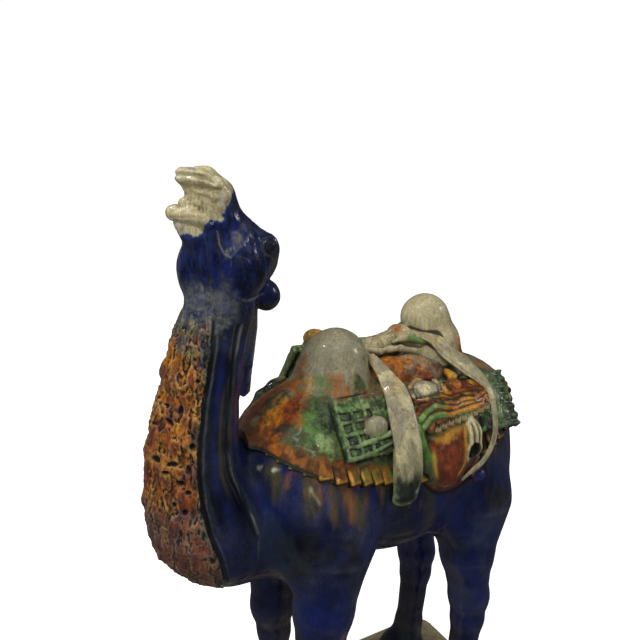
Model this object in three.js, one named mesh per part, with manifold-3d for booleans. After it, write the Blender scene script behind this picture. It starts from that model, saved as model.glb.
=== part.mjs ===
import * as THREE from "three";
import { mergeVertices } from "three/addons/utils/BufferGeometryUtils.js";
import Module from "manifold-3d";

const wasm = await Module();
wasm.setup();

// Driving dimensions, in millimetres
const FIGURE_HEIGHT = 687; // soles to the top of the raised upper lip
const BASE_THICKNESS = 16;
const BASE_MARGIN_LONG = 40; // from the toes and the heels to the ends of the base
const BASE_MARGIN_SIDE = 17; // from the feet to the base's long edges
const BASE_CORNER = 24; // corner radius of the base plate
const BOARD_LENGTH = 218; // a pack board, nose to tail
const BOARD_WIDTH = 63;
const BOARD_THICKNESS = 10;
const LATTICE_BAR = 4; // width of a raised bar on a pack board
const LATTICE_RISE = 3;
const LATTICE_ROWS = 4;
const LATTICE_COLUMNS = 2;
const BLANKET_RISE = 4; // the blanket stands this far off the hide
const HEM_DEPTH = 19; // height of the pleated hem
const HEM_RISE = 6; // how far a pleat stands off the blanket
const HEM_PLEATS = 40;
const SKEIN_WIDTH = 24; // a hank of silk, laid flat
const SKEIN_THICKNESS = 14;
const FIN_THICKNESS = 13; // the strip of mane down the nape

// The figure's pose, proportions and carving are shares of its height, written in modules of about 7 mm.
// In modules the figure faces -X, its left side is -Y, and its soles stand at z = SOLE. The part's own
// origin is on the floor, midway between the front feet and the hind feet.
const MODULES_HIGH = 98.14;
const MODULE = FIGURE_HEIGHT / MODULES_HIGH;
const SOLE = 2.3;
const SUNK = 0.8; // how deep the feet run into the base
const FRONT_FOOT = [-17, -8.0, 3.4];
const HIND_FOOT = [12.4, -7.6, 3.4];
const FOOT_SIZE = [4.6, 3.9, 2.6];
const MIDDLE = (FRONT_FOOT[0] + HIND_FOOT[0]) / 2;
const toMillimetres = ([x, y, z]) => [
  (x - MIDDLE) * MODULE,
  y * MODULE,
  (z - SOLE) * MODULE + BASE_THICKNESS,
];

// Facets: the cell that each form is sampled with, in modules, and how many triangles it keeps
const BODY_CELL = 1.5;
const HEAD_CELL = 0.75;
const LOAD_CELL = 0.8;
const BODY_FACETS = 2900;
const HEAD_FACETS = 1500;
const MASK_FACETS = 900;
const ROLL_FACETS = 380;
const SMALL_FACETS = 130;
const WHOLE_FACETS = 9900;

// Fields: functions of (x, y, z) in modules, below zero inside the clay
const smoothUnion = (a, b, blend) => {
  const h = Math.max(blend - Math.abs(a - b), 0) / blend;
  return Math.min(a, b) - (h * h * blend) / 4;
};

const egg = ([cx, cy, cz], [rx, ry, rz], tilt = 0) => {
  const c = Math.cos(THREE.MathUtils.degToRad(tilt));
  const s = Math.sin(THREE.MathUtils.degToRad(tilt));
  return (x, y, z) => {
    const px = (x - cx) * c + (z - cz) * s;
    const py = y - cy;
    const pz = (z - cz) * c - (x - cx) * s;
    const k0 = Math.hypot(px / rx, py / ry, pz / rz);
    const k1 = Math.hypot(px / rx ** 2, py / ry ** 2, pz / rz ** 2);
    return k1 < 1e-9 ? -Math.min(rx, ry, rz) : (k0 * (k0 - 1)) / k1;
  };
};

// A chain of tapered round links through stations [x, y, z, radius]
const chain = (stations, blend = 1) => {
  const links = stations.slice(1).map((b, i) => {
    const a = stations[i];
    const axis = [b[0] - a[0], b[1] - a[1], b[2] - a[2]];
    const length2 = axis[0] ** 2 + axis[1] ** 2 + axis[2] ** 2;
    return { a, axis, length2, grow: b[3] - a[3] };
  });
  return (x, y, z) => {
    let d = Infinity;
    for (const { a, axis, length2, grow } of links) {
      const qx = x - a[0], qy = y - a[1], qz = z - a[2];
      const along = (qx * axis[0] + qy * axis[1] + qz * axis[2]) / length2;
      const t = Math.min(Math.max(along, 0), 1);
      const away = Math.hypot(qx - t * axis[0], qy - t * axis[1], qz - t * axis[2]);
      const link = away - (a[3] + grow * t);
      d = d === Infinity ? link : smoothUnion(d, link, blend);
    }
    return d;
  };
};

const blendAll = (blend, ...fields) => (x, y, z) =>
  fields.reduce((d, field) => (d === null ? field(x, y, z) : smoothUnion(d, field(x, y, z), blend)), null);

const carve = (blend, field, ...tools) => (x, y, z) =>
  tools.reduce((d, tool) => -smoothUnion(-d, tool(x, y, z), blend), field(x, y, z));

const bothSides = (field) => (x, y, z) => field(x, -Math.abs(y), z);

const ramp = (from, to, v) => {
  const t = Math.min(Math.max((v - from) / (to - from), 0), 1);
  return t * t * (3 - 2 * t);
};

// Body
const NECK = [
  [-20, 0, 46, 7.8],
  [-26.2, 0, 47, 7.7],
  [-29.4, 0, 50, 7.6],
  [-30.7, 0, 54.9, 6.9],
  [-30.9, 0, 60.5, 6.1],
  [-30.2, 0, 66.0, 5.7],
  [-28.9, 0, 72.0, 5.3],
  [-27.5, 0, 77.0, 4.9],
  [-26.4, 0, 81.5, 4.5],
  [-25.6, 0, 85.0, 4.1],
];

const torso = blendAll(
  5,
  egg([-13.5, 0, 53.5], [10.5, 12.2, 13]),
  egg([1, 0, 52.2], [17.5, 13.2, 15.2]),
  egg([13.5, 0, 54], [10.3, 11.2, 12]),
  egg([17, 0, 59.6], [6.4, 7, 5.4]),
);
const shoulders = bothSides(egg([-13.5, -7, 48], [7.5, 5.5, 12]));
const haunches = bothSides(egg([14.3, -6.6, 47], [7.4, 5.4, 13]));
const frontHump = chain([[-8.8, 0, 63, 7.6], [-7.9, 0, 69, 5.4], [-7.35, 0, 72.3, 3.3]], 1.5);
const rearHump = chain([[11, 0, 64, 6.2], [10.4, 0, 70, 4.6], [9.2, 0, 75.4, 3.2]], 1.5);
const frontLegs = bothSides(chain([
  [-13.2, -8.2, 44, 6.2],
  [-14.4, -8.3, 34, 4.5],
  [-15.2, -8.0, 24, 3.5],
  [-15.0, -8.0, 19, 2.7],
  [-15.0, -8.0, 8.5, 2.4],
  [-15.6, -8.0, 5.0, 2.7],
], 1.5));
const hindLegs = bothSides(chain([
  [15.0, -7.4, 44, 6.4],
  [14.4, -7.6, 34, 4.4],
  [15.6, -7.6, 24.5, 3.3],
  [15.6, -7.6, 20, 2.7],
  [14.4, -7.6, 8.5, 2.4],
  [13.8, -7.6, 5.0, 2.7],
], 1.5));
const feet = blendAll(
  1,
  bothSides(egg(FRONT_FOOT, FOOT_SIZE)),
  bothSides(egg(HIND_FOOT, FOOT_SIZE)),
);
const tail = chain([[22.5, 0, 60, 1.6], [24.6, 0.4, 55, 1.5], [24.3, 0.8, 49, 1.7], [23.4, 1.0, 45, 1.0]], 1);

// The shaggy mane down the front of the neck: a raised lumpy coat
const MANE_RISE = 0.55;
const neckLine = chain(NECK, 1.5);
function neckCentreX(z) {
  const i = NECK.findIndex((station) => station[2] > z);
  if (i < 1) return i === 0 ? NECK[0][0] : NECK.at(-1)[0];
  const [a, b] = [NECK[i - 1], NECK[i]];
  return a[0] + ((b[0] - a[0]) * (z - a[2])) / (b[2] - a[2]);
}
const maneRelief = (x, y, z) => {
  const front = ramp(0, 2.8, neckCentreX(z) - x) * ramp(40, 43, z) * ramp(80.5, 78.5, z);
  const lumps = Math.sin(1.15 * z + 0.9 * y) * Math.cos(1.05 * y - 0.5 * z);
  return front * MANE_RISE * (1 + 0.7 * lumps);
};
const neck = (x, y, z) => neckLine(x, y, z) - maneRelief(x, y, z);

// The blanket's lower edge: how high it hangs at each x
const HEM_LOW = 54.7;
const HEM_FRONT = 61;
const HEM_MIDDLE_X = 3;
const BLANKET_FRONT_X = -22;
const BLANKET_REAR_X = 22.4;
const hemHeight = (x) => {
  const reach = x < HEM_MIDDLE_X ? HEM_MIDDLE_X - BLANKET_FRONT_X : BLANKET_REAR_X - HEM_MIDDLE_X;
  return HEM_LOW + (HEM_FRONT - HEM_LOW) * ((x - HEM_MIDDLE_X) / reach) ** 2;
};
const barrel = blendAll(4, torso, shoulders, haunches);
const blanketRise = BLANKET_RISE / MODULE;
const clothed = (x, y, z) => barrel(x, y, z) - blanketRise * ramp(-1.2, 1.2, z - hemHeight(x));
const limbs = blendAll(2.2, blendAll(4, clothed, neck), frontLegs, hindLegs, frontHump, rearHump);
const figure = blendAll(1, blendAll(3, limbs, feet), tail);

// Head: (along, deep, across) runs from the poll to the lips, from the brow to the throat, and to its left
const HEAD_CENTRE = [-21.5, 88];
const HEAD_LIFT = THREE.MathUtils.degToRad(58);
const onHead = (along, deep, across, radius) => [
  HEAD_CENTRE[0] - along * Math.cos(HEAD_LIFT) - deep * Math.sin(HEAD_LIFT),
  -across,
  HEAD_CENTRE[1] + along * Math.sin(HEAD_LIFT) - deep * Math.cos(HEAD_LIFT),
  radius,
];
const eggOnHead = (centre, [along, deep, across]) =>
  egg(onHead(...centre, 0).slice(0, 3), [deep, across, along], 90 - THREE.MathUtils.radToDeg(HEAD_LIFT));
const ringOnHead = (stations) => chain([
  ...stations.map((station) => onHead(...station)),
  ...stations.toReversed().slice(1).map(([along, deep, across, radius]) =>
    onHead(along, deep, -across, radius)),
], 0.4);

const throat = chain([
  [-25.7, 0, 77, 4.4], [-25.6, 0, 81.5, 4.6], [-25.6, 0, 85, 4.4], [-25.5, 0, 88, 4.1], [-25.6, 0, 90.6, 3.2],
], 1.5);
const bridge = chain([
  onHead(-0.6, -0.6, 0, 2.9), onHead(3.5, -0.2, 0, 2.5), onHead(6.5, -0.2, 0, 2.2),
  onHead(9.4, -0.5, 0, 2.6), onHead(11.8, -0.4, 0, 1.9), onHead(13.2, 0.8, 0, 1.4),
], 1);
const cranium = eggOnHead([0.1, 0.7, 0], [4.2, 4.2, 3.9]);
const lowerJaw = chain([onHead(4.5, 3.5, 0, 3.0), onHead(7.4, 3.7, 0, 2.3), onHead(9.3, 4.3, 0, 1.5)], 1);
const cheeks = bothSides(eggOnHead([0.3, 2.8, 2.4], [4.2, 3.5, 2.3]));
const brows = bothSides(eggOnHead([0.5, -2.2, 2.5], [1.8, 1.7, 1.4]));
const eyes = bothSides(eggOnHead([0.6, -2.8, 3.3], [0.9, 0.9, 0.7]));
const membrane = eggOnHead([9.3, 1.2, 0], [2.6, 2.4, 2.3]);
const tongue = eggOnHead([10.3, 3.1, 0], [1.5, 0.9, 1.6]);
const upperLip = ringOnHead([
  [9.7, -1.2, 2.3, 1.1], [11.4, -1.0, 2.2, 1.1], [13.1, 0.1, 1.6, 1.1], [14.1, 1.3, 0, 1.1],
]);
const innerLip = ringOnHead([[10.2, 0.0, 2.2, 0.8], [12.0, 0.7, 1.8, 0.8], [12.9, 1.7, 0, 0.8]]);
const lowerLip = ringOnHead([
  [7.8, 2.7, 2.3, 0.8], [9.3, 3.3, 2.1, 0.9], [10.6, 4.4, 1.4, 0.9], [11.1, 5.0, 0, 0.9],
]);
const beard = egg([-28.6, 2.1, 86.4], [2.2, 2.4, 4.0]);
const poll = egg([-18.5, -0.3, 82.4], [1.9, 2.2, 2.4]);
const ears = bothSides(chain([[-20.6, -3.3, 85.2, 0.9], [-18.9, -2.6, 82.8, 1.0]], 0.5));
const head = blendAll(
  0.7,
  blendAll(1.4, blendAll(2, throat, cranium, bridge, lowerJaw), membrane, cheeks, brows, beard, poll),
  upperLip,
  innerLip,
  lowerLip,
  tongue,
  eyes,
  ears,
);

// Evens out the facets: each point moves to the middle of its neighbours, then back to the surface
function relax(points, faces, field, rounds = 4) {
  const near = points.map(() => new Set());
  for (const face of faces)
    for (const [a, b] of [[0, 1], [1, 2], [2, 0]]) {
      near[face[a]].add(face[b]);
      near[face[b]].add(face[a]);
    }
  const probe = 0.05;
  for (let round = 0; round < rounds; round++) {
    const moved = points.map((point, n) => {
      const mean = [0, 0, 0];
      for (const m of near[n]) for (const i of [0, 1, 2]) mean[i] += points[m][i] / near[n].size;
      const p = point.map((v, i) => v + 0.6 * (mean[i] - v));
      const d = field(...p);
      const slope = [0, 1, 2].map((i) => {
        const q = [...p];
        q[i] += probe;
        return (field(...q) - d) / probe;
      });
      const steep = Math.max(slope[0] ** 2 + slope[1] ** 2 + slope[2] ** 2, 0.2);
      return p.map((v, i) => v - (d * slope[i]) / steep);
    });
    moved.forEach((p, n) => { points[n] = p; });
  }
}

// Where the corners of a grid square are inside and outside by turns, two sheets would meet in one edge.
// Such a crevice is too narrow for the grid, so it is filled.
function fillPinches(value, count, at) {
  const barelyInside = -0.02;
  let pinched = true;
  while (pinched) {
    pinched = false;
    for (let i = 0; i < count[0] - 1; i++)
      for (let j = 0; j < count[1] - 1; j++)
        for (let k = 0; k < count[2] - 1; k++)
          for (const axis of [0, 1, 2]) {
            const [a, b, c, d] = [[0, 0], [1, 0], [1, 1], [0, 1]].map(([u, v]) => {
              const corner = [i, j, k];
              corner[(axis + 1) % 3] += u;
              corner[(axis + 2) % 3] += v;
              return at(...corner);
            });
            const inside = (n) => value[n] < 0;
            if (inside(a) !== inside(c) || inside(b) !== inside(d) || inside(a) === inside(b)) continue;
            for (const n of inside(a) ? [b, d] : [a, c]) value[n] = barelyInside;
            pinched = true;
          }
  }
}

// Closed facets over a field inside a box, by naive surface nets. The box cuts the form off flat.
function polygonise(field, low, high, cell, facets) {
  const boxed = (x, y, z) => Math.max(
    field(x, y, z), low[0] - x, x - high[0], low[1] - y, y - high[1], low[2] - z, z - high[2],
  );
  const origin = low.map((v) => v - 1.5 * cell);
  const count = low.map((v, i) => Math.ceil((high[i] - v) / cell) + 4);
  const at = (i, j, k) => (i * count[1] + j) * count[2] + k;
  const value = new Float64Array(count[0] * count[1] * count[2]);
  for (let i = 0; i < count[0]; i++)
    for (let j = 0; j < count[1]; j++)
      for (let k = 0; k < count[2]; k++)
        value[at(i, j, k)] = boxed(origin[0] + i * cell, origin[1] + j * cell, origin[2] + k * cell);
  fillPinches(value, count, at);
  const numbered = new Map();
  const points = [];
  const faces = [];
  const pointOf = (i, j, k) => {
    const key = at(i, j, k);
    if (numbered.has(key)) return numbered.get(key);
    const sum = [0, 0, 0];
    let crossings = 0;
    for (const axis of [0, 1, 2])
      for (const u of [0, 1])
        for (const v of [0, 1]) {
          const a = [i, j, k];
          a[(axis + 1) % 3] += u;
          a[(axis + 2) % 3] += v;
          const b = [...a];
          b[axis] += 1;
          const va = value[at(...a)];
          const vb = value[at(...b)];
          if (va < 0 === vb < 0) continue;
          const t = va / (va - vb);
          for (const n of [0, 1, 2]) sum[n] += origin[n] + (a[n] + (b[n] - a[n]) * t) * cell;
          crossings += 1;
        }
    numbered.set(key, points.length);
    points.push(sum.map((s) => s / crossings));
    return points.length - 1;
  };
  for (let i = 1; i < count[0] - 1; i++)
    for (let j = 1; j < count[1] - 1; j++)
      for (let k = 1; k < count[2] - 1; k++)
        for (const axis of [0, 1, 2]) {
          const a = [i, j, k];
          const b = [...a];
          b[axis] += 1;
          const inside = value[at(...a)] < 0;
          if (inside === value[at(...b)] < 0) continue;
          const quad = [[1, 1], [0, 1], [0, 0], [1, 0]].map(([du, dv]) => {
            const c = [...a];
            c[(axis + 1) % 3] -= du;
            c[(axis + 2) % 3] -= dv;
            return pointOf(...c);
          });
          if (!inside) quad.reverse();
          faces.push([quad[0], quad[1], quad[2]], [quad[0], quad[2], quad[3]]);
        }
  relax(points, faces, boxed);
  return solidOf(lighten(geometryFrom(points.map(toMillimetres), faces), facets));
}

// Thinning. A quadric holds, in ten numbers, the sum of squared distances from a point to a set of planes.
function quadricOf(a, b, c) {
  const n = normalOf(a, b, c);
  const area = n.length();
  if (area < 1e-12) return new Float64Array(10);
  n.divideScalar(area);
  const d = -n.dot(a);
  return Float64Array.of(
    n.x * n.x, n.x * n.y, n.x * n.z, n.x * d, n.y * n.y, n.y * n.z, n.y * d, n.z * n.z, n.z * d, d * d,
  ).map((value) => value * Math.cbrt(area));
}

const normalOf = (a, b, c) => b.clone().sub(a).cross(c.clone().sub(a));

// The point that an edge shrinks to with the least harm to the surface, and that harm
function merging(a, b, points, quadrics) {
  const q = quadrics[a].map((value, i) => value + quadrics[b][i]);
  const middle = points[a].clone().add(points[b]).multiplyScalar(0.5);
  const pull = 1e-3 * (q[0] + q[4] + q[7]) + 1e-9;
  const m = new THREE.Matrix3().set(
    q[0] + pull, q[1], q[2],
    q[1], q[4] + pull, q[5],
    q[2], q[5], q[7] + pull,
  );
  const spot = new THREE.Vector3(pull * middle.x - q[3], pull * middle.y - q[6], pull * middle.z - q[8])
    .applyMatrix3(m.invert());
  const { x, y, z } = spot;
  const cost = q[0] * x * x + q[4] * y * y + q[7] * z * z + q[9]
    + 2 * (q[1] * x * y + q[2] * x * z + q[5] * y * z + q[3] * x + q[6] * y + q[8] * z)
    + pull * spot.distanceToSquared(middle);
  return { a, b, spot, cost, q };
}

// Shrinks edges until a mesh has few enough facets, the least harmful ones first
function lighten(geometry, facets) {
  const [points, start] = pointsAndFaces(geometry);
  let faces = start;
  const quadrics = points.map(() => new Float64Array(10));
  for (const face of faces) {
    const share = quadricOf(...face.map((v) => points[v]));
    for (const v of face) quadrics[v] = quadrics[v].map((value, i) => value + share[i]);
  }
  let merges = 1;
  while (faces.length > facets && merges > 0) {
    const around = points.map(() => []);
    faces.forEach((face, f) => face.forEach((v) => around[v].push(f)));
    const edges = faces.flatMap(([a, b, c]) => [[a, b], [b, c], [c, a]])
      .filter(([a, b]) => a < b)
      .map(([a, b]) => merging(a, b, points, quadrics))
      .sort((one, other) => one.cost - other.cost);
    const touched = new Set();
    const gone = new Set();
    const most = Math.max(1, Math.min((faces.length - facets) / 2, edges.length / 12));
    merges = 0;
    for (const { a, b, spot, q } of edges) {
      if (merges >= most) break;
      const ring = (v) => new Set(around[v].flatMap((f) => faces[f]).filter((w) => w !== v));
      const [ringA, ringB] = [ring(a), ring(b)];
      if ([...ringA, ...ringB].some((v) => touched.has(v))) continue;
      if ([...ringA].filter((v) => ringB.has(v)).length !== 2) continue;
      const folds = [a, b].some((v) => around[v].some((f) => {
        if (faces[f].includes(a) && faces[f].includes(b)) return false;
        const before = faces[f].map((w) => points[w]);
        const after = faces[f].map((w) => (w === v ? spot : points[w]));
        const [was, is] = [normalOf(...before), normalOf(...after)];
        const longest = Math.max(...after.map((p, i) => p.distanceToSquared(after[(i + 1) % 3])));
        return was.dot(is) < 0.35 * was.length() * is.length() || is.length() < 0.06 * longest;
      }));
      if (folds) continue;
      for (const f of around[b]) {
        if (faces[f].includes(a)) gone.add(f);
        else faces[f] = faces[f].map((v) => (v === b ? a : v));
      }
      points[a] = spot;
      quadrics[a] = q;
      for (const v of [a, b, ...ringA, ...ringB]) touched.add(v);
      merges += 1;
    }
    faces = faces.filter((_, f) => !gone.has(f));
  }
  const kept = [...new Set(faces.flat())];
  const newNumber = new Map(kept.map((v, i) => [v, i]));
  const renumbered = faces.map((face) => face.map((v) => newNumber.get(v)));
  return geometryFrom(kept.map((v) => points[v].toArray()), renumbered);
}

// Geometries and solids
function geometryFrom(points, faces) {
  return new THREE.BufferGeometry()
    .setAttribute("position", new THREE.Float32BufferAttribute(points.flat(), 3))
    .setIndex(faces.flat());
}

function welded(geometry) {
  const bare = geometry.clone();
  bare.deleteAttribute("normal");
  bare.deleteAttribute("uv");
  return mergeVertices(bare, 1e-3);
}

function pointsAndFaces(geometry) {
  const { attributes, index } = welded(geometry);
  const points = Array.from(
    { length: attributes.position.count },
    (_, i) => new THREE.Vector3().fromBufferAttribute(attributes.position, i),
  );
  const faces = Array.from({ length: index.count / 3 }, (_, i) => [0, 1, 2].map((n) => index.getX(3 * i + n)))
    .filter(([a, b, c]) => a !== b && b !== c && c !== a);
  return [points, faces];
}

function solidOf(geometry) {
  const { attributes, index } = welded(geometry);
  return new wasm.Manifold(new wasm.Mesh({
    numProp: 3,
    vertProperties: new Float32Array(attributes.position.array),
    triVerts: new Uint32Array(index.array),
  }));
}

function geometryOf(solid) {
  const { vertProperties, triVerts } = solid.getMesh();
  return new THREE.BufferGeometry()
    .setAttribute("position", new THREE.BufferAttribute(vertProperties, 3))
    .setIndex(new THREE.BufferAttribute(triVerts, 1));
}

// The same solid on the figure's right side
function mirrored(solid) {
  const geometry = geometryOf(solid).scale(1, -1, 1);
  const index = geometry.index.array;
  for (let i = 0; i < index.length; i += 3) [index[i + 1], index[i + 2]] = [index[i + 2], index[i + 1]];
  return solidOf(geometry);
}

// Lofts: rings of points in modules, joined in order and capped, or closed end to end
function loft(rings, closed = false) {
  const sides = rings[0].length;
  const faces = [];
  const spans = closed ? rings.length : rings.length - 1;
  for (let i = 0; i < spans; i++)
    for (let j = 0; j < sides; j++) {
      const here = i * sides;
      const next = ((i + 1) % rings.length) * sides;
      const k = (j + 1) % sides;
      faces.push([here + j, next + j, here + k], [here + k, next + j, next + k]);
    }
  if (!closed) {
    const last = (rings.length - 1) * sides;
    for (let j = 1; j < sides - 1; j++) faces.push([0, j, j + 1], [last, last + j + 1, last + j]);
  }
  return solidOf(geometryFrom(rings.flat().map(toMillimetres), faces));
}

const outwardAt = ([x, y, z]) => {
  const step = 0.1;
  const d = barrel(x, y, z);
  return new THREE.Vector3(
    barrel(x + step, y, z) - d, barrel(x, y + step, z) - d, barrel(x, y, z + step) - d,
  ).normalize();
};

// A hank of silk along stations [x, y, z], lying flat on the flank
const SKEIN_SIDES = 7;
const SKEIN_STEPS = 11;
function skein(stations) {
  const sides = SKEIN_SIDES;
  const steps = SKEIN_STEPS;
  const width = SKEIN_WIDTH / MODULE;
  const thickness = SKEIN_THICKNESS / MODULE;
  const path = new THREE.CatmullRomCurve3(stations.map((p) => new THREE.Vector3(...p)));
  const rings = [];
  for (let i = 0; i <= steps; i++) {
    const centre = path.getPoint(i / steps);
    const ahead = path.getTangent(i / steps);
    const out = outwardAt(centre.toArray());
    const across = new THREE.Vector3().crossVectors(ahead, out).normalize();
    out.crossVectors(across, ahead).normalize();
    const taper = 1 - 0.35 * ramp(0.85, 1, i / steps) - 0.35 * ramp(0.12, 0, i / steps);
    rings.push(Array.from({ length: sides }, (_, j) => {
      const turn = (2 * Math.PI * j) / sides;
      return centre.clone()
        .addScaledVector(across, (Math.cos(turn) * width * taper) / 2)
        .addScaledVector(out, (Math.sin(turn) * thickness * taper) / 2)
        .toArray();
    }));
  }
  return loft(rings);
}

// The pleated hem: a closed strip round the blanket's lower edge, one ridge and one valley to a pleat
// Its section: shares of the depth up the flank, and of the blanket's and the pleat's rise out from the hide
const HEM_SECTION = [[-0.45, 0.6, 1], [0.3, 0.6, 1], [0.62, 0.9, 0], [0.5, -1.4, 0], [-0.5, -1.4, 0]];
function hem() {
  const depth = HEM_DEPTH / MODULE;
  const rise = HEM_RISE / MODULE;
  const rings = [];
  for (let i = 0; i < 2 * HEM_PLEATS; i++) {
    const turn = (Math.PI * i) / HEM_PLEATS;
    const across = [Math.cos(turn), Math.sin(turn)];
    const place = (r) => {
      const x = HEM_MIDDLE_X + across[0] * r;
      return [x, across[1] * r, hemHeight(THREE.MathUtils.clamp(x, BLANKET_FRONT_X, BLANKET_REAR_X))];
    };
    let near = 4;
    let far = 30;
    while (far - near > 0.01) {
      const middle = (near + far) / 2;
      if (barrel(...place(middle)) < 0) near = middle;
      else far = middle;
    }
    const foot = new THREE.Vector3(...place(near));
    const out = outwardAt(foot.toArray());
    const up = new THREE.Vector3(0, 0, 1).addScaledVector(out, -out.z).normalize();
    const proud = i % 2 ? rise : rise * 0.35;
    rings.push(HEM_SECTION.map(([high, onBlanket, onPleat]) => foot.clone()
      .addScaledVector(up, high * depth)
      .addScaledVector(out, onBlanket * blanketRise + onPleat * proud)
      .toArray()));
  }
  return loft(rings, true);
}

// Pack boards, each in a frame of its own: along the board, up the flank and out from it.
// The near one hangs lower at the tail, and the far one is propped up on a bolster.
function boardFrame([x, y, z], [upY, upZ], tip) {
  const up = new THREE.Vector3(0, upY, upZ).normalize();
  const out = new THREE.Vector3(0, -up.z, up.y);
  const frame = new THREE.Matrix4()
    .makeBasis(new THREE.Vector3(1, 0, 0), up, out)
    .multiply(new THREE.Matrix4().makeRotationZ(THREE.MathUtils.degToRad(-tip)));
  return frame.setPosition(...toMillimetres([x, y, z]));
}
const NEAR_BOARD = boardFrame([3.0, -9.9, 63.1], [0.62, 0.785], 2.6);
const FAR_BOARD = boardFrame([3.6, -9.0, 66.0], [0.5, 0.866], 5);

function board(frame) {
  const block = (long, tall, deep, x, y, z) => solidOf(
    new THREE.BoxGeometry(long, tall, deep).translate(x, y, z).applyMatrix4(frame),
  );
  let plate = block(BOARD_LENGTH, BOARD_WIDTH, BOARD_THICKNESS, 0, 0, 0);
  const row = (BOARD_WIDTH - LATTICE_BAR) / LATTICE_ROWS;
  const pocket = row - LATTICE_BAR;
  for (const end of [-1, 1])
    for (let column = 0; column < LATTICE_COLUMNS; column++)
      for (let r = 0; r < LATTICE_ROWS; r++) {
        const x = end * (BOARD_LENGTH / 2 - LATTICE_BAR - pocket / 2 - column * row);
        const y = (r - (LATTICE_ROWS - 1) / 2) * row;
        plate = plate.subtract(block(pocket, pocket, 2 * LATTICE_RISE, x, y, BOARD_THICKNESS / 2));
      }
  return plate;
}

const boss = egg([-7.0, -10.7, 63.5], [1.7, 1.3, 1.6]);
const leaf = chain([[-11.0, -13.1, 60.4, 0.5], [-8.6, -12.6, 61.2, 0.9], [-4.8, -12.0, 62.2, 0.6]], 0.6);

// The mask-faced saddlebag that hangs between the two skeins
const bagPad = egg([5.6, -11.0, 57.5], [6.8, 3.4, 7.6]);
const bagBelly = egg([4.4, -12.2, 55.6], [4.4, 3.6, 5.0]);
const forehead = egg([5.0, -8.4, 64.4], [4.6, 2.2, 2.0]);
const brow = egg([3.6, -9.0, 65.0], [2.2, 1.2, 1.3]);
const knobs = blendAll(
  0.3,
  chain([[9.6, -5.6, 64.5, 1.2], [9.6, -6.6, 67.4, 1.0]], 0.3),
  egg([6.5, -8.8, 65.7], [0.9, 1.1, 1.3]),
  egg([9.3, -9.0, 66.0], [1.4, 1.2, 1.3]),
  egg([12.7, -9.0, 65.6], [1.2, 1.1, 1.2]),
  egg([9.6, -6.8, 68.0], [1.1, 1.0, 1.0]),
);
const lips = blendAll(
  0.3,
  chain([
    [-2, -12.4, 62.6, 0.7], [0.7, -11.8, 63.9, 0.8], [6.9, -11, 64.3, 0.8],
    [11.8, -10.8, 64.4, 0.8], [14, -10, 65, 0.5],
  ], 0.5),
  chain([
    [-2, -13.0, 60.6, 0.8], [0.5, -12.8, 62.6, 0.8], [6, -12.3, 63.0, 0.8], [12.2, -11.8, 63.6, 0.7],
  ], 0.5),
);
const teeth = chain([[0.6, -13.4, 60.4, 0.9], [5.7, -13.2, 61.2, 1.0], [12.7, -12.2, 62.4, 0.8]], 0.5);
const tongueFlap = chain([[8.4, -13.2, 61.6, 1.2], [8.6, -14.0, 59.0, 1.7], [9.1, -14.2, 56.4, 1.7]], 0.5);
const tongueHole = egg([9.5, -15.6, 56.0], [0.8, 1.8, 1.5]);
const bobble = egg([9.9, -13.6, 52.8], [1.3, 1.4, 1.2]);
const sideBand = chain([[-1.9, -12.8, 61.2, 0.9], [-2.0, -13.4, 58.5, 0.9], [-1.2, -13.6, 54, 0.9]], 0.5);
const mask = blendAll(
  0.3,
  carve(0.3, blendAll(0.8, blendAll(1.2, bagPad, bagBelly), forehead, brow, tongueFlap), tongueHole),
  knobs,
  lips,
  teeth,
  bobble,
  sideBand,
);

const FRONT_SKEIN = [
  [-2.0, -1.2, 70.2], [-2.2, -4.2, 68.2], [-2.4, -8.0, 65.8], [-3.1, -11.4, 63.7],
  [-3.7, -13.6, 60.8], [-3.7, -14.2, 57.0], [-3.9, -13.8, 52.4],
];
const REAR_SKEIN = [
  [5.8, -1.2, 73.2], [8.0, -3.8, 72.0], [10.4, -5.4, 69.8], [13.0, -6.8, 67.8],
  [14.6, -9.8, 65.6], [13.8, -12.8, 63.0], [13.0, -13.9, 59.5], [12.6, -14.0, 55.5], [12.0, -13.4, 51.6],
];
const topRolls = blendAll(
  0.5,
  chain([[-3.2, 1.0, 69.6, 1.7], [1.5, 1.8, 70.4, 1.8], [5.0, 1.6, 71.4, 1.7], [7.0, -0.4, 72.0, 1.9]], 0.8),
  chain([[0.5, 1.0, 68.2, 1.6], [4.6, -1.6, 70.6, 1.3], [6.4, -2.4, 71.4, 1.3], [8.4, -3.2, 71.2, 1.2]], 0.8),
  chain([[-2.4, 4.5, 67.4, 1.6], [4.0, 4.2, 68.0, 1.8], [8.5, 4.2, 69.4, 1.7]], 0.8),
);

// What props up the far board: a bolster along it and, at its front end, a round knob
const propped = blendAll(
  0.6,
  chain([[-8.6, 7.4, 66.0, 3.0], [2, 7.6, 63.8, 3.0], [14, 7.2, 63.4, 2.8]], 1),
  egg([-8.0, 5.6, 72.2], [1.5, 1.4, 1.3]),
  egg([-8.4, 6.2, 70.2], [1.6, 1.4, 2.0]),
);

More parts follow.
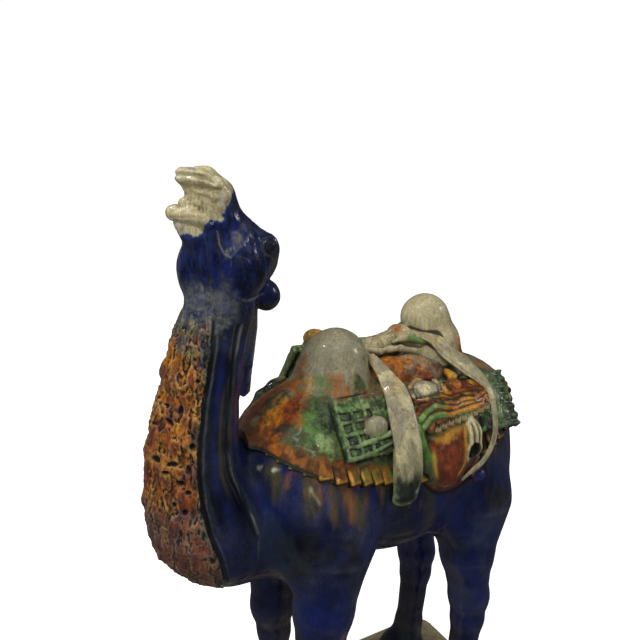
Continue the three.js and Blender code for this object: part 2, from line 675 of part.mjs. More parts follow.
// The nape's strip of mane, drawn in the plane y = 0
const FIN_EDGE = [[-20.5, 78], [-21.0, 74.5], [-21.6, 71.0], [-22.0, 68.6], [-22.9, 67.7], [-23.8, 68.4]];
const FIN_TOP = 82;
function napeFin() {
  const toPlane = ([x, z]) => [toMillimetres([x, 0, z])[0], toMillimetres([x, 0, z])[2]];
  const outline = new THREE.Shape();
  outline.moveTo(...toPlane([-24.5, FIN_TOP]));
  outline.lineTo(...toPlane([-20.2, FIN_TOP]));
  outline.splineThru(FIN_EDGE.map((p) => new THREE.Vector2(...toPlane(p))));
  outline.lineTo(...toPlane([-26, 72]));
  outline.closePath();
  const extrusion = { depth: FIN_THICKNESS, curveSegments: 1, bevelEnabled: false };
  const fin = new THREE.ExtrudeGeometry(outline, extrusion);
  return solidOf(fin.translate(0, 0, -FIN_THICKNESS / 2).rotateX(Math.PI / 2));
}

// The low base: a rounded plate with the feet's plan and a margin
function basePlate() {
  const l = ((HIND_FOOT[0] - FRONT_FOOT[0]) / 2 + FOOT_SIZE[0]) * MODULE + BASE_MARGIN_LONG;
  const w = (-FRONT_FOOT[1] + FOOT_SIZE[1]) * MODULE + BASE_MARGIN_SIDE;
  const r = BASE_CORNER;
  const plan = new THREE.Shape();
  plan.absarc(l - r, -w + r, r, -Math.PI / 2, 0);
  plan.absarc(l - r, w - r, r, 0, Math.PI / 2);
  plan.absarc(-l + r, w - r, r, Math.PI / 2, Math.PI);
  plan.absarc(-l + r, -w + r, r, Math.PI, 1.5 * Math.PI);
  plan.closePath();
  const extrusion = { depth: BASE_THICKNESS, curveSegments: 5, bevelEnabled: false };
  const plate = new THREE.ExtrudeGeometry(plan, extrusion);
  return solidOf(plate);
}

// One glazed body: what both sides share, the two boards, and what the left has and the right repeats
const LEFT_SIDE = [
  polygonise(mask, [-4, -18, 46], [15.5, -4, 70], LOAD_CELL, MASK_FACETS),
  polygonise(boss, [-10, -14, 60], [-4, -8, 66], LOAD_CELL, SMALL_FACETS),
  polygonise(leaf, [-13, -15, 58], [-3, -10, 64], LOAD_CELL, SMALL_FACETS),
  skein(FRONT_SKEIN),
  skein(REAR_SKEIN),
];
const joined = [
  polygonise(figure, [-42, -18, SOLE - SUNK], [28, 18, 82], BODY_CELL, BODY_FACETS),
  polygonise(head, [-38, -8, 77.5], [-12, 8, 104], HEAD_CELL, HEAD_FACETS),
  polygonise(topRolls, [-6, -6, 64], [12, 8, 76], LOAD_CELL, ROLL_FACETS),
  polygonise(propped, [-13, 2, 60], [18, 12, 75], LOAD_CELL, ROLL_FACETS),
  napeFin(),
  hem(),
  basePlate(),
  board(NEAR_BOARD),
  mirrored(board(FAR_BOARD)),
  ...LEFT_SIDE,
  ...LEFT_SIDE.map(mirrored),
].reduce((whole, solid) => whole.add(solid));

// Where the load presses on the blanket small gaps are sealed in: only the outermost skin is kept
const skin = joined.decompose().sort((one, other) => other.volume() - one.volume())[0];

const glaze = new THREE.MeshStandardMaterial({ color: "#1b2756", roughness: 0.22, metalness: 0 });
const camel = new THREE.Mesh(lighten(geometryOf(skin), WHOLE_FACETS), glaze);
camel.name = "camel_figure";

const root = new THREE.Group();
root.add(camel);
export default root;
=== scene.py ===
"""The glazed pack camel: an earthenware figure under three runny lead glazes, on a low base.

The clay forms are distance fields, drawn in modules of about 7 mm in the figure's own place: it faces -X,
its left side is -Y, and its soles stand at z = SOLE. Each piece of clay is a closed skin over such a field.
What repeats or follows a path is made by Geometry Nodes.
"""

from __future__ import annotations

import logging
import math
from dataclasses import dataclass, field
from enum import Enum
from typing import Any, Callable, Sequence

import bpy
import numpy as np
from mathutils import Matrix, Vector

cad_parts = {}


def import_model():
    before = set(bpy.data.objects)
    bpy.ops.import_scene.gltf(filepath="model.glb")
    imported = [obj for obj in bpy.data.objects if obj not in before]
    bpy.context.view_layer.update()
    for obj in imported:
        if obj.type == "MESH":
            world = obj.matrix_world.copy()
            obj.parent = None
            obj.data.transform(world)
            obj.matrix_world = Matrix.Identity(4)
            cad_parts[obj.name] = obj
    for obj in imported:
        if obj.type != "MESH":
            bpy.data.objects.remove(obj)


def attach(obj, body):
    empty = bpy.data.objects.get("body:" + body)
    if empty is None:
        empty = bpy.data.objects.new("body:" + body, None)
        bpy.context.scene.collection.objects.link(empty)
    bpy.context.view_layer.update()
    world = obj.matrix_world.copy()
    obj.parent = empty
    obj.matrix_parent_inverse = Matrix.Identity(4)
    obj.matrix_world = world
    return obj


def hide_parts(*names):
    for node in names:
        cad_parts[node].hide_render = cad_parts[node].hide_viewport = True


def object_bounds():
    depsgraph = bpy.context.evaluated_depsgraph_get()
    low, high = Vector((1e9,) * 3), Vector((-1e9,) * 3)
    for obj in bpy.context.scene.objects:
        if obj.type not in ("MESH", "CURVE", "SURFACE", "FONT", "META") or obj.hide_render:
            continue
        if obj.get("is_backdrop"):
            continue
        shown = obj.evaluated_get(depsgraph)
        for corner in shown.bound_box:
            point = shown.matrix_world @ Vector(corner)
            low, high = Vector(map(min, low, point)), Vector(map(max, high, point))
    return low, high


LOG = logging.getLogger("camel")
NODE = "camel_figure"
FIGURE_HEIGHT = 0.687  # metres, from the soles to the lip
BASE_THICKNESS = 0.016  # metres
MODULE = FIGURE_HEIGHT / 98.14  # metres; the figure is 98.14 modules tall
SOLE = 2.3  # z of the soles, in modules
MIDDLE = -2.3  # x of the base's centre, in modules
SHIFT = np.array([-MIDDLE * MODULE, 0.0, BASE_THICKNESS - SOLE * MODULE])
CORNERS = [(i, j, k) for i in (0, 1) for j in (0, 1) for k in (0, 1)]

Array = np.ndarray
Depth = Callable[[Array, Array, Array], Array]
Station = Sequence[float]
Box = tuple[Station, Station]
Place = tuple[Station, Station, float, int]
Colour = tuple[float, float, float, float]


def to_metres(points: Array) -> Array:
    """Turns points in modules into the frame's metres.

    Args:
        points: rows of x, y, z in modules.

    Returns:
        The same rows in metres, from the middle of the base's underside.
    """
    return points * MODULE + SHIFT


def ramp(start: float, end: float, value: Array) -> Array:
    """A smooth rise from 0 at start to 1 at end.

    Args:
        start: where the rise starts.
        end: where it ends, on either side of the start.
        value: the numbers to look up.

    Returns:
        Numbers from 0 to 1.
    """
    t = np.clip((value - start) / (end - start), 0, 1)
    return t * t * (3 - 2 * t)


def soft_lower(a: Array, b: Array, reach: float) -> Array:
    """The lower of two fields, rounded over where they differ by less than the reach."""
    h = np.maximum(reach - np.abs(a - b), 0) / reach
    return np.minimum(a, b) - h * h * reach / 4


def ridge(value: Array, middle: float, width: float) -> Array:
    """A smooth hill of height 1 at the middle, which fades over the width."""
    return np.exp(-(((value - middle) / width) ** 2))


def xyz(points: Array) -> tuple[Array, Array, Array]:
    """The three columns of some points."""
    return points[:, 0].copy(), points[:, 1].copy(), points[:, 2].copy()


def rises(depth: Depth, points: Array, probe: float) -> tuple[Array, Array]:
    """A field at some points.

    Args:
        depth: the field.
        points: where to look.
        probe: how far the second look along each axis is.

    Returns:
        The values, and how much more they are at the second look along x, y and z.
    """
    x, y, z = xyz(points)
    here = depth(x, y, z)
    looks = (depth(x + probe, y, z), depth(x, y + probe, z), depth(x, y, z + probe))
    return here, np.stack([look - here for look in looks], 1)


def block(size: Sequence[int], starts: dict[int, int]) -> tuple[slice, ...]:
    """The part of a grid that is one shorter along some axes.

    Args:
        size: the grid's size.
        starts: 0 or 1 for each shortened axis: whether its last or its first row is left out.

    Returns:
        The slices.
    """
    return tuple(slice(starts[n], size[n] - 1 + starts[n]) if n in starts else slice(None) for n in range(3))


def evenly(path: Array, count: int) -> tuple[Array, float]:
    """Places spread evenly along a path.

    Args:
        path: its points.
        count: how many places.

    Returns:
        The places, and the way from one to the next.
    """
    run = np.concatenate([[0], np.cumsum(np.linalg.norm(np.diff(path, axis=0), axis=1))])
    spots = (np.arange(count) + 0.5) * run[-1] / count
    return np.stack([np.interp(spots, run, column) for column in path.T], 1), run[-1] / count


class Grain:
    """Seeded lattice noise with a mean of about zero, for what hands and glaze leave uneven."""

    SIZE = 32

    def __init__(self, seed: int) -> None:
        """Draws the lattice.

        Args:
            seed: fixes the pattern.
        """
        self.values = np.random.default_rng(seed).uniform(-1, 1, (self.SIZE,) * 3).astype(np.float32)

    def __call__(self, x: Array, y: Array, z: Array, pitch: float, octaves: int = 1) -> Array:
        """Looks the noise up.

        Args:
            x: first coordinates.
            y: second coordinates.
            z: third coordinates.
            pitch: size of a lump, in the coordinates' unit.
            octaves: how many halvings of the pitch are added.

        Returns:
            Values between about -1 and 1.
        """
        total = 0.0
        weight = 1.0
        for octave in range(octaves):
            shift = 7.3 * octave
            total = total + weight * self._single(x / pitch + shift, y / pitch + shift, z / pitch + shift)
            pitch /= 2
            weight /= 2
        return total

    def _single(self, x: Array, y: Array, z: Array) -> Array:
        """One octave: lattice values blended smoothly between their corners."""
        cell = [np.floor(c).astype(np.int64) for c in (x, y, z)]
        part = [c - k for c, k in zip((x, y, z), cell)]
        part = [t * t * (3 - 2 * t) for t in part]
        total = 0.0
        for corner in CORNERS:
            weight = 1.0
            for t, high in zip(part, corner):
                weight = weight * (t if high else 1 - t)
            at = tuple((c + high) % self.SIZE for c, high in zip(cell, corner))
            total = total + weight * self.values[at]
        return total


class Form:
    """A body of clay: a distance field in modules, below zero inside the clay."""

    def __init__(self, depth: Depth) -> None:
        """Keeps the field.

        Args:
            depth: the distance outside the clay at x, y, z.
        """
        self.depth = depth

    def __call__(self, x: Array, y: Array, z: Array) -> Array:
        """The distance outside the clay at each point."""
        return self.depth(x, y, z)

    @staticmethod
    def egg(centre: Station, radii: Station, tilt: float = 0.0) -> Form:
        """An ellipsoid.

        Args:
            centre: its middle.
            radii: half its size along x, y and z.
            tilt: degrees that it is turned about y, +x up towards +z.

        Returns:
            The form.
        """
        c, s = math.cos(math.radians(tilt)), math.sin(math.radians(tilt))
        rx, ry, rz = radii

        def depth(x: Array, y: Array, z: Array) -> Array:
            """Distance to the ellipsoid, exact enough near it."""
            px = (x - centre[0]) * c + (z - centre[2]) * s
            py = y - centre[1]
            pz = (z - centre[2]) * c - (x - centre[0]) * s
            near = np.sqrt((px / rx) ** 2 + (py / ry) ** 2 + (pz / rz) ** 2)
            steep = np.sqrt((px / rx**2) ** 2 + (py / ry**2) ** 2 + (pz / rz**2) ** 2)
            return near * (near - 1) / np.maximum(steep, 1e-6)

        return Form(depth)

    @staticmethod
    def chain(stations: Sequence[Station], reach: float = 1.0) -> Form:
        """Tapered round links through stations.

        Args:
            stations: x, y, z and radius of each.
            reach: how widely one link blends into the next.

        Returns:
            The form.
        """
        def depth(x: Array, y: Array, z: Array) -> Array:
            """Distance to the nearest link."""
            total = None
            for a, b in zip(stations[:-1], stations[1:]):
                along = [b[n] - a[n] for n in range(3)]
                length2 = sum(v * v for v in along)
                q = (x - a[0], y - a[1], z - a[2])
                t = np.clip(sum(v * w for v, w in zip(q, along)) / length2, 0, 1)
                away = np.sqrt(sum((v - t * w) ** 2 for v, w in zip(q, along)))
                link = away - (a[3] + (b[3] - a[3]) * t)
                total = link if total is None else soft_lower(total, link, reach)
            return total

        return Form(depth)

    @staticmethod
    def thread(stations: Sequence[Station], radius: float, reach: float = 1.0) -> Form:
        """A line of even thickness through stations; see chain."""
        return Form.chain([(*s[:3], radius) for s in stations], reach)

    @staticmethod
    def joined(reach: float, *forms: Form) -> Form:
        """Several forms pressed together, with fillets of about the reach between them."""
        def depth(x: Array, y: Array, z: Array) -> Array:
            """Distance to the pressed forms."""
            total = forms[0](x, y, z)
            for form in forms[1:]:
                total = soft_lower(total, form(x, y, z), reach)
            return total

        return Form(depth)

    def carved(self, reach: float, *tools: Form) -> Form:
        """This form with others cut out of it, the edges rounded over by the reach."""
        def depth(x: Array, y: Array, z: Array) -> Array:
            """Distance to what is left."""
            total = self(x, y, z)
            for tool in tools:
                total = -soft_lower(-total, tool(x, y, z), reach)
            return total

        return Form(depth)

    def raised(self, rise: Depth) -> Form:
        """This form with its surface moved out by a rise that may change from place to place."""
        return Form(lambda x, y, z: self(x, y, z) - rise(x, y, z))

    def on_both_sides(self) -> Form:
        """This form, drawn on the left, on the left and the right."""
        return Form(lambda x, y, z: self(x, -np.abs(y), z))

    def kept(self, fence: Depth, step: float = 0.0) -> Form:
        """The part of this form where the fence is below zero.

        Args:
            fence: signed distance past the fence.
            step: how far the last module before the fence is drawn in, so that it hides in its neighbour.

        Returns:
            The form.
        """
        def depth(x: Array, y: Array, z: Array) -> Array:
            """Distance to the kept part."""
            past = fence(x, y, z)
            return np.maximum(self(x, y, z) + step * ramp(-1.4, 0, past), past)

        return Form(depth)


@dataclass
class Skin:
    """A closed mesh over a form, in modules."""

    points: Array
    quads: Array

    @staticmethod
    def over(form: Form, low: Station, high: Station, cell: float, rounds: int = 3) -> Skin:
        """Meshes a form by surface nets and evens the mesh out.

        Args:
            form: the clay.
            low: lowest corner of the box to look in.
            high: highest corner of that box.
            cell: size of a grid cell.
            rounds: how often the mesh is evened out.

        Returns:
            The skin.
        """
        def boxed(x: Array, y: Array, z: Array) -> Array:
            """The form inside its box."""
            walls = [low[0] - x, x - high[0], low[1] - y, y - high[1], low[2] - z, z - high[2]]
            return np.maximum(form(x, y, z), np.maximum.reduce(walls))

        origin = np.array(low, float) - 2 * cell
        values = Skin._sample(boxed, origin, np.array(high, float) + 2 * cell, cell)
        Skin._fill_pinches(values)
        skin = Skin(*Skin._net(values, origin, cell))
        for _ in range(rounds):
            skin._relax(boxed)
        return skin

    @staticmethod
    def _sample(depth: Depth, low: Array, high: Array, cell: float) -> Array:
        """Samples a field on a grid, closely only near its surface.

        Args:
            depth: the field.
            low: lowest corner.
            high: highest corner.
            cell: grid cell.

        Returns:
            The values on the grid.
        """
        coarse = 4
        batch = 300000

        def refined(grid: Array) -> Array:
            """Each coarse value, on all its fine places."""
            return grid.repeat(coarse, 0).repeat(coarse, 1).repeat(coarse, 2)

        count = ((np.ceil((high - low) / cell).astype(int) + coarse) // coarse) * coarse + 1
        wide = (count - 1) // coarse + 1
        axes = [low[n] + coarse * cell * np.arange(wide[n]) for n in range(3)]
        grid = np.meshgrid(*axes, indexing="ij")
        rough = depth(*[g.ravel() for g in grid]).reshape(wide)
        near = np.abs(rough) < 2.0 * coarse * cell
        active = np.zeros(wide - 1, bool)
        for corner in CORNERS:
            active |= near[block(wide, dict(enumerate(corner)))]
        mask = np.zeros(count, bool)
        mask[:-1, :-1, :-1] = refined(active)
        for axis in range(3):
            grown = mask.copy()
            grown[block(count, {axis: 1})] |= mask[block(count, {axis: 0})]
            mask = grown
        filled = refined(rough)[:count[0], :count[1], :count[2]]
        values = np.where(filled < 0, -1e3, 1e3).astype(np.float32)
        spots = np.argwhere(mask)
        found = np.empty(len(spots), np.float32)
        for start in range(0, len(spots), batch):
            here = (low + spots[start:start + batch] * cell).astype(np.float32)
            found[start:start + batch] = depth(*xyz(here))
        values[mask] = found
        return values

    @staticmethod
    def _fill_pinches(values: Array) -> None:
        """Fills crevices too narrow for the grid, where two sheets would meet in one edge."""
        barely_inside = -0.01
        pinched = True
        while pinched:
            pinched = False
            for u, w in ((0, 1), (1, 2), (2, 0)):
                around = ((0, 0), (1, 0), (1, 1), (0, 1))
                corners = [values[block(values.shape, {u: du, w: dw})] for du, dw in around]
                inside = [c < 0 for c in corners]
                bad = (inside[0] == inside[2]) & (inside[1] == inside[3]) & (inside[0] != inside[1])
                if bad.any():
                    pinched = True
                    for corner, was in zip(corners, inside):
                        corner[bad & ~was] = barely_inside

    @staticmethod
    def _net(values: Array, origin: Array, cell: float) -> tuple[Array, Array]:
        """Naive surface nets.

        Args:
            values: the sampled field.
            origin: the grid's lowest corner.
            cell: grid cell.

        Returns:
            Points and quads that face outwards.
        """
        inside = values < 0
        count = sum(inside[block(values.shape,
            dict(enumerate(corner)))].astype(np.int8) for corner in CORNERS)
        crossed = (count > 0) & (count < 8)
        cells = np.argwhere(crossed)
        number = np.full(crossed.shape, -1, np.int64)
        number[crossed] = np.arange(len(cells))
        total = np.zeros((len(cells), 3))
        hits = np.zeros(len(cells))
        for a in CORNERS:
            for axis in range(3):
                if a[axis]:
                    continue
                b = list(a)
                b[axis] = 1
                va, vb = (values[tuple((cells + corner).T)] for corner in (a, b))
                cut = (va < 0) != (vb < 0)
                share = va[cut] / (va[cut] - vb[cut])
                spot = np.tile(np.array(a, float), (len(share), 1))
                spot[:, axis] += share
                total[cut] += spot
                hits[cut] += 1
        points = origin + (cells + total / hits[:, None]) * cell
        quads = []
        for axis in range(3):
            u, w = (axis + 1) % 3, (axis + 2) % 3
            start, end = (inside[block(values.shape, {axis: n})] for n in (0, 1))
            edges = np.argwhere(start != end)
            started = start[tuple(edges.T)]
            ring = []
            for du, dw in ((1, 1), (0, 1), (0, 0), (1, 0)):
                at = edges.copy()
                at[:, u] -= du
                at[:, w] -= dw
                ring.append(number[tuple(at.T)])
            quad = np.stack(ring, 1)
            quad[~started] = quad[~started][:, ::-1]
            quads.append(quad)
        return points, np.concatenate(quads)

    def edges(self) -> tuple[Array, Array]:
        """Both ends of each quad side, in both directions."""
        a = self.quads.ravel()
        b = np.roll(self.quads, -1, axis=1).ravel()
        return np.concatenate([a, b]), np.concatenate([b, a])

    def averaged(self, values: Array, rounds: int = 1) -> Array:
        """Values of the points, each replaced by its neighbours' mean.

        Args:
            values: one row or number for each point.
            rounds: how often.

        Returns:
            The averaged values.
        """
        a, b = self.edges()
        count = np.bincount(a, minlength=len(self.points))
        flat = values.reshape(len(values), -1)
        for _ in range(rounds):
            flat = np.stack(
                [np.bincount(a, weights=flat[b, n],
                    minlength=len(count)) / count for n in range(flat.shape[1])], 1
            )
        return flat.reshape(values.shape)

    def normals(self) -> Array:
        """Outward unit normals of the points."""
        corner = [self.points[self.quads[:, n]] for n in range(4)]
        face = np.cross(corner[2] - corner[0], corner[3] - corner[1])
        total = np.stack(
            [np.bincount(self.quads.ravel(), weights=face[:, n].repeat(4), minlength=len(self.points))
             for n in range(3)], 1,
        )
        return total / np.maximum(np.linalg.norm(total, axis=1, keepdims=True), 1e-12)

    def _relax(self, depth: Depth) -> None:
        """Moves each point towards its neighbours' mean, then back to the field's surface."""
        probe = 0.02
        p = self.points + 0.6 * (self.averaged(self.points) - self.points)
        here, rise = rises(depth, p, probe)
        slope = rise / probe
        steep = np.maximum((slope**2).sum(1), 0.3)
        move = -(here / steep)[:, None] * slope
        length = np.linalg.norm(move, axis=1, keepdims=True)
        self.points = p + move * np.minimum(1, 0.5 / np.maximum(length, 1e-9))

    def hollows(self, rounds: int) -> Array:
        """How far each point lies below its surroundings, in modules: above zero in a hollow.

        Args:
            rounds: how wide the surroundings are, in steps from point to point.

        Returns:
            One depth for each point.
        """
        away = self.averaged(self.points, rounds) - self.points
        return (away * self.normals()).sum(1)

    def press(self, relief: Array) -> None:
        """Moves the points out along their normals by a relief in modules."""
        self.points = self.points + self.normals() * relief[:, None]

    def as_copy(self, name: str) -> bpy.types.Object:
        """An object of this skin in metres, in its own place, for a tree to repeat."""
        mesh = bpy.data.meshes.new(name)
        mesh.from_pydata((self.points * MODULE).tolist(), [], self.quads.tolist())
        return bpy.data.objects.new(name, mesh)

    @staticmethod
    def of_grown(piece: bpy.types.Object) -> Skin:
        """The points of a grown piece, in modules, without its faces."""
        return Skin(in_modules(piece.data), np.zeros((0, 4), int))


class Glaze(Enum):
    """The colours that the glazes give, as they look where they lie evenly."""

    COBALT = "#0f1d55"
    NIGHT = "#060917"
    SLATE = "#2a3543"
    AMBER = "#a45c14"
    GOLD = "#c08a28"
    RUST = "#743015"
    UMBER = "#3f2416"
    LEAF = "#58803a"
    FROST = "#8c9f66"
    MOSS = "#475738"
    PEAT = "#1d2418"
    OLIVE = "#4a4420"
    CREAM = "#ada27a"
    STRAW = "#c2b68c"
    ASH = "#7c7a68"
    AZURE = "#17408a"
    TAN = "#8d7a58"
    CHALK = "#d6d2c0"

    def linear(self) -> Array:
        """The colour as linear red, green and blue."""
        code = self.value.lstrip("#")
        srgb = np.array([int(code[n:n + 2], 16) / 255 for n in (0, 2, 4)])
        return np.where(srgb <= 0.04045, srgb / 12.92, ((srgb + 0.055) / 1.055) ** 2.4)


@dataclass(frozen=True)
class Seam:
    """A thin drawn line: relief and glaze together.

    Sizes are in modules; a rise below zero is a groove.
    Where both is set, the line is also drawn on the right.
    """

    stations: Sequence[Station]
    width: float
    rise: float
    glaze: Glaze | None = None
    strength: float = 0.8
    both: bool = True

    def shape(self, points: Array, broaden: float = 1.0) -> Array:
        """How close each point is to the line, from 0 to 1."""
        x, y, z = xyz(points)
        away = Form.thread(self.stations, 0.0, 0.05)(x, -np.abs(y) if self.both else y, z)
        return ridge(away, 0, self.width * broaden)


class Brush:
    """Lays glaze on one skin."""

    def __init__(self, skin: Skin, ground: Glaze, grain: Grain) -> None:
        """Gives the skin its first coat.

        Args:
            skin: what is painted.
            ground: the glaze under all others.
            grain: seeded noise.
        """
        self.skin = skin
        self.grain = grain
        self.x, self.y, self.z = xyz(skin.points)
        self.coat = Coat.even(ground, len(skin.points))

    def noise(self, pitch: float, seed: int = 0, octaves: int = 3, tall: float = 1.0) -> Array:
        """Seeded noise on the skin.

        Args:
            pitch: size of a patch, in modules.
            seed: which noise.
            octaves: how many halvings of the pitch are added.
            tall: how much the patches are drawn out downwards.

        Returns:
            Values between about -1 and 1.
        """
        shift = 11.7 * seed
        return self.grain(self.x + shift, self.y - shift, self.z / tall + shift, pitch, octaves)

    def wash(self, glaze: Glaze, cover: Array | float) -> None:
        """Covers the skin with a glaze where the cover says."""
        self.coat.lay(glaze, np.broadcast_to(cover, self.x.shape))

    def mottle(self, glaze: Glaze, pitch: float, seed: int, share: float, strength: float,
            tall: float = 1.0) -> None:
        """Lays patches of a glaze.

        Args:
            glaze: the colour.
            pitch: size of a patch.
            seed: which noise.
            share: where the patches start, higher for fewer.
            strength: how strong they are.
            tall: how much they are drawn out downwards.
        """
        fine = 0.45 * self.noise(pitch / 5, seed + 40, 2, 1.6 * tall)
        self.wash(glaze, strength * ramp(share - 0.35, share + 0.35, self.noise(pitch, seed, 4, tall) + fine))

    def fleck(
        self, glaze: Glaze, strength: Array | float, start: float, end: float,
        pitch: float, seed: int = 0, octaves: int = 3, tall: float = 1.0,
    ) -> None:
        """Lays a glaze where the noise rises from start to end.

        Args:
            glaze: the colour.
            strength: how strong it is.
            start: the noise at which it starts.
            end: the noise at which it is full.
            pitch: size of a patch, in modules.
            seed: which noise.
            octaves: how many halvings of the pitch are added.
            tall: how much the patches are drawn out downwards.
        """
        self.wash(glaze, strength * ramp(start, end, self.noise(pitch, seed, octaves, tall)))

    def vein(self, glaze: Glaze, pitch: float, seed: int, width: float, strength: Array | float,
            tall: float = 1.0) -> None:
        """Draws thin wandering lines of a glaze.

        Args:
            glaze: the colour.
            pitch: how far apart the lines are, in modules.
            seed: which noise.
            width: how broad they are, as a share of the noise.
            strength: how strong they are.
            tall: how much they are drawn out downwards.
        """
        self.wash(glaze, strength * ridge(self.noise(pitch, seed, 3, tall), 0, width))

    def strokes(self, strokes: Sequence[Stroke]) -> None:
        """Lays some strokes, in their order."""
        for stroke in strokes:
            self.wash(stroke.glaze, stroke.cover(self.x, self.y, self.z, self.grain))

    def seams(self, seams: Sequence[Seam], share: float = 1.0, broaden: float = 1.0) -> None:
        """Paints the lines that have a glaze."""
        for seam in seams:
            if seam.glaze is not None:
                self.wash(seam.glaze, share * seam.strength * seam.shape(self.skin.points, broaden))

    def pool(self, rounds: int, strength: float) -> None:
        """Marks hollows and crests from the skin's own shape; the shader darkens the hollows with pooling
        glaze and painted shade.
        """
        self.coat.hollow = np.clip(self.coat.hollow + strength * self.skin.hollows(rounds), -1, 1)

    def shade_contacts(self, forms: Sequence[Form], reach: float = 0.7, strength: float = 0.9) -> None:
        """Paints shade where other forms stand on this one, by raising the hollow mask near them."""
        for form in forms:
            away = form(self.x, self.y, self.z)
            self.coat.hollow = np.clip(self.coat.hollow + strength * ramp(reach, 0.1, away), -1, 1)


@dataclass(frozen=True)
class Stroke:
    """A brushful of glaze: where it lies and how its edge runs.

    Sizes are in modules. It is drawn on the figure's left and lies on both sides.
    """

    glaze: Glaze
    stations: Sequence[Station]
    edge: float = 0.6
    ragged: float = 0.7
    strength: float = 1.0
    run: float = 1.0

    def cover(self, x: Array, y: Array, z: Array, grain: Grain) -> Array:
        """How much of the glaze lies at each point, from 0 to 1.

        Args:
            x: first coordinates.
            y: second coordinates.
            z: third coordinates.
            grain: noise for the ragged edge.

        Returns:
            The cover.
        """
        points = list(self.stations)
        if len(points) == 1:
            only = list(points[0])
            points = [only, [only[0] + 0.01, *only[1:]]]
        away = Form.chain(points, 0.5)(x, -np.abs(y), z)
        wander = grain(x, y, z / self.run, 1.9, 3) + 0.6 * grain(x, y + 7, z / (2 * self.run), 0.6, 2)
        return self.strength * (1 - ramp(-1.3 * self.edge, 1.3 * self.edge, away + self.ragged * wander))


@dataclass
class Coat:
    """The glaze on one piece: colour, and three masks that the shader reads."""

    tint: Array
    dust: Array
    craze: Array
    # above zero: dark pooling glaze and painted shade in hollows, beside resting forms and in slits; below
    # zero: paler worn crests
    hollow: Array

    @staticmethod
    def even(glaze: Glaze, count: int) -> Coat:
        """One glaze all over.

        Args:
            glaze: the colour.
            count: number of points.

        Returns:
            The coat.
        """
        return Coat(np.tile(glaze.linear(), (count, 1)), np.zeros(count), np.zeros(count), np.zeros(count))

    def lay(self, glaze: Glaze, cover: Array) -> None:
        """Covers the coat with a glaze.

        Args:
            glaze: the colour.
            cover: how much of it lies at each point.
        """
        share = np.clip(cover, 0, 1)[:, None]
        self.tint = self.tint * (1 - share) + glaze.linear() * share


class Shade:
    """A shader socket that takes part in sums."""

    def __init__(self, bench: "Bench", socket: bpy.types.NodeSocket) -> None:
        """Keeps the socket.

        Args:
            bench: makes the nodes of a sum.
            socket: an output socket.
        """
        self.bench = bench
        self.socket = socket

    def _sum(self, operation: str, first: Any, second: Any) -> Shade:
        """One Math node."""
        return self.bench.node("ShaderNodeMath", {"operation": operation}, {0: first, 1: second})[0]

    def __add__(self, other: Any) -> Shade:
        """self + other."""
        return self._sum("ADD", self, other)

    def __radd__(self, other: Any) -> Shade:
        """other + self."""
        return self._sum("ADD", other, self)

    def __sub__(self, other: Any) -> Shade:
        """self - other."""
        return self._sum("SUBTRACT", self, other)

    def __rsub__(self, other: Any) -> Shade:
        """other - self."""
        return self._sum("SUBTRACT", other, self)

    def __mul__(self, other: Any) -> Shade:
        """self * other."""
        return self._sum("MULTIPLY", self, other)

    def __rmul__(self, other: Any) -> Shade:
        """other * self."""
        return self._sum("MULTIPLY", other, self)

    def clamped(self) -> Shade:
        """The value held between 0 and 1."""
        return self.bench.node("ShaderNodeClamp", {}, {0: self})[0]

    def stepped(self, low: float, high: float) -> Shade:
        """A smooth rise from 0 at low to 1 at high."""
        settings = {"interpolation_type": "SMOOTHSTEP"}
        sockets = {"Value": self, "From Min": low, "From Max": high, "To Min": 0.0, "To Max": 1.0}
        return self.bench.node("ShaderNodeMapRange", settings, sockets)[0]


class Bench:
    """Makes the nodes of one tree."""

    def __init__(self, tree: bpy.types.NodeTree) -> None:
        """Keeps the tree.

        Args:
            tree: the tree to build in.
        """
        self.tree = tree

    def node(self, kind: str, settings: dict[str, Any], sockets: dict[Any, Any]) -> list[Shade]:
        """Adds a node.

        Args:
            kind: the node's type.
            settings: its own properties, set first.
            sockets: values or links of its input sockets, by name or number.

        Returns:
            Its output sockets.
        """
        made = self.tree.nodes.new(kind)
        for name, value in settings.items():
            setattr(made, name, value)
        for name, value in sockets.items():
            self.feed(made.inputs[name], value)
        return [Shade(self, output) for output in made.outputs]

    def feed(self, socket: bpy.types.NodeSocket, value: Any) -> None:
        """Sets or links an input socket.

        Args:
            socket: the input.
            value: a number, a vector, a colour, a data-block or a Shade.
        """
        if isinstance(value, Shade):
            self.tree.links.new(value.socket, socket)
        else:
            socket.default_value = value

    def mixed(self, share: Any, first: Any, second: Any, blend: str = "MIX") -> Shade:
        """Two colours mixed.

        Args:
            share: how much of the second.
            first: a colour.
            second: a colour.
            blend: the way of mixing.

        Returns:
            The mixed colour.
        """
        made = self.tree.nodes.new("ShaderNodeMix")
        made.data_type = "RGBA"
        made.blend_type = blend
        for index, value in ((0, share), (6, first), (7, second)):
            self.feed(made.inputs[index], value)
        return Shade(self, made.outputs[2])


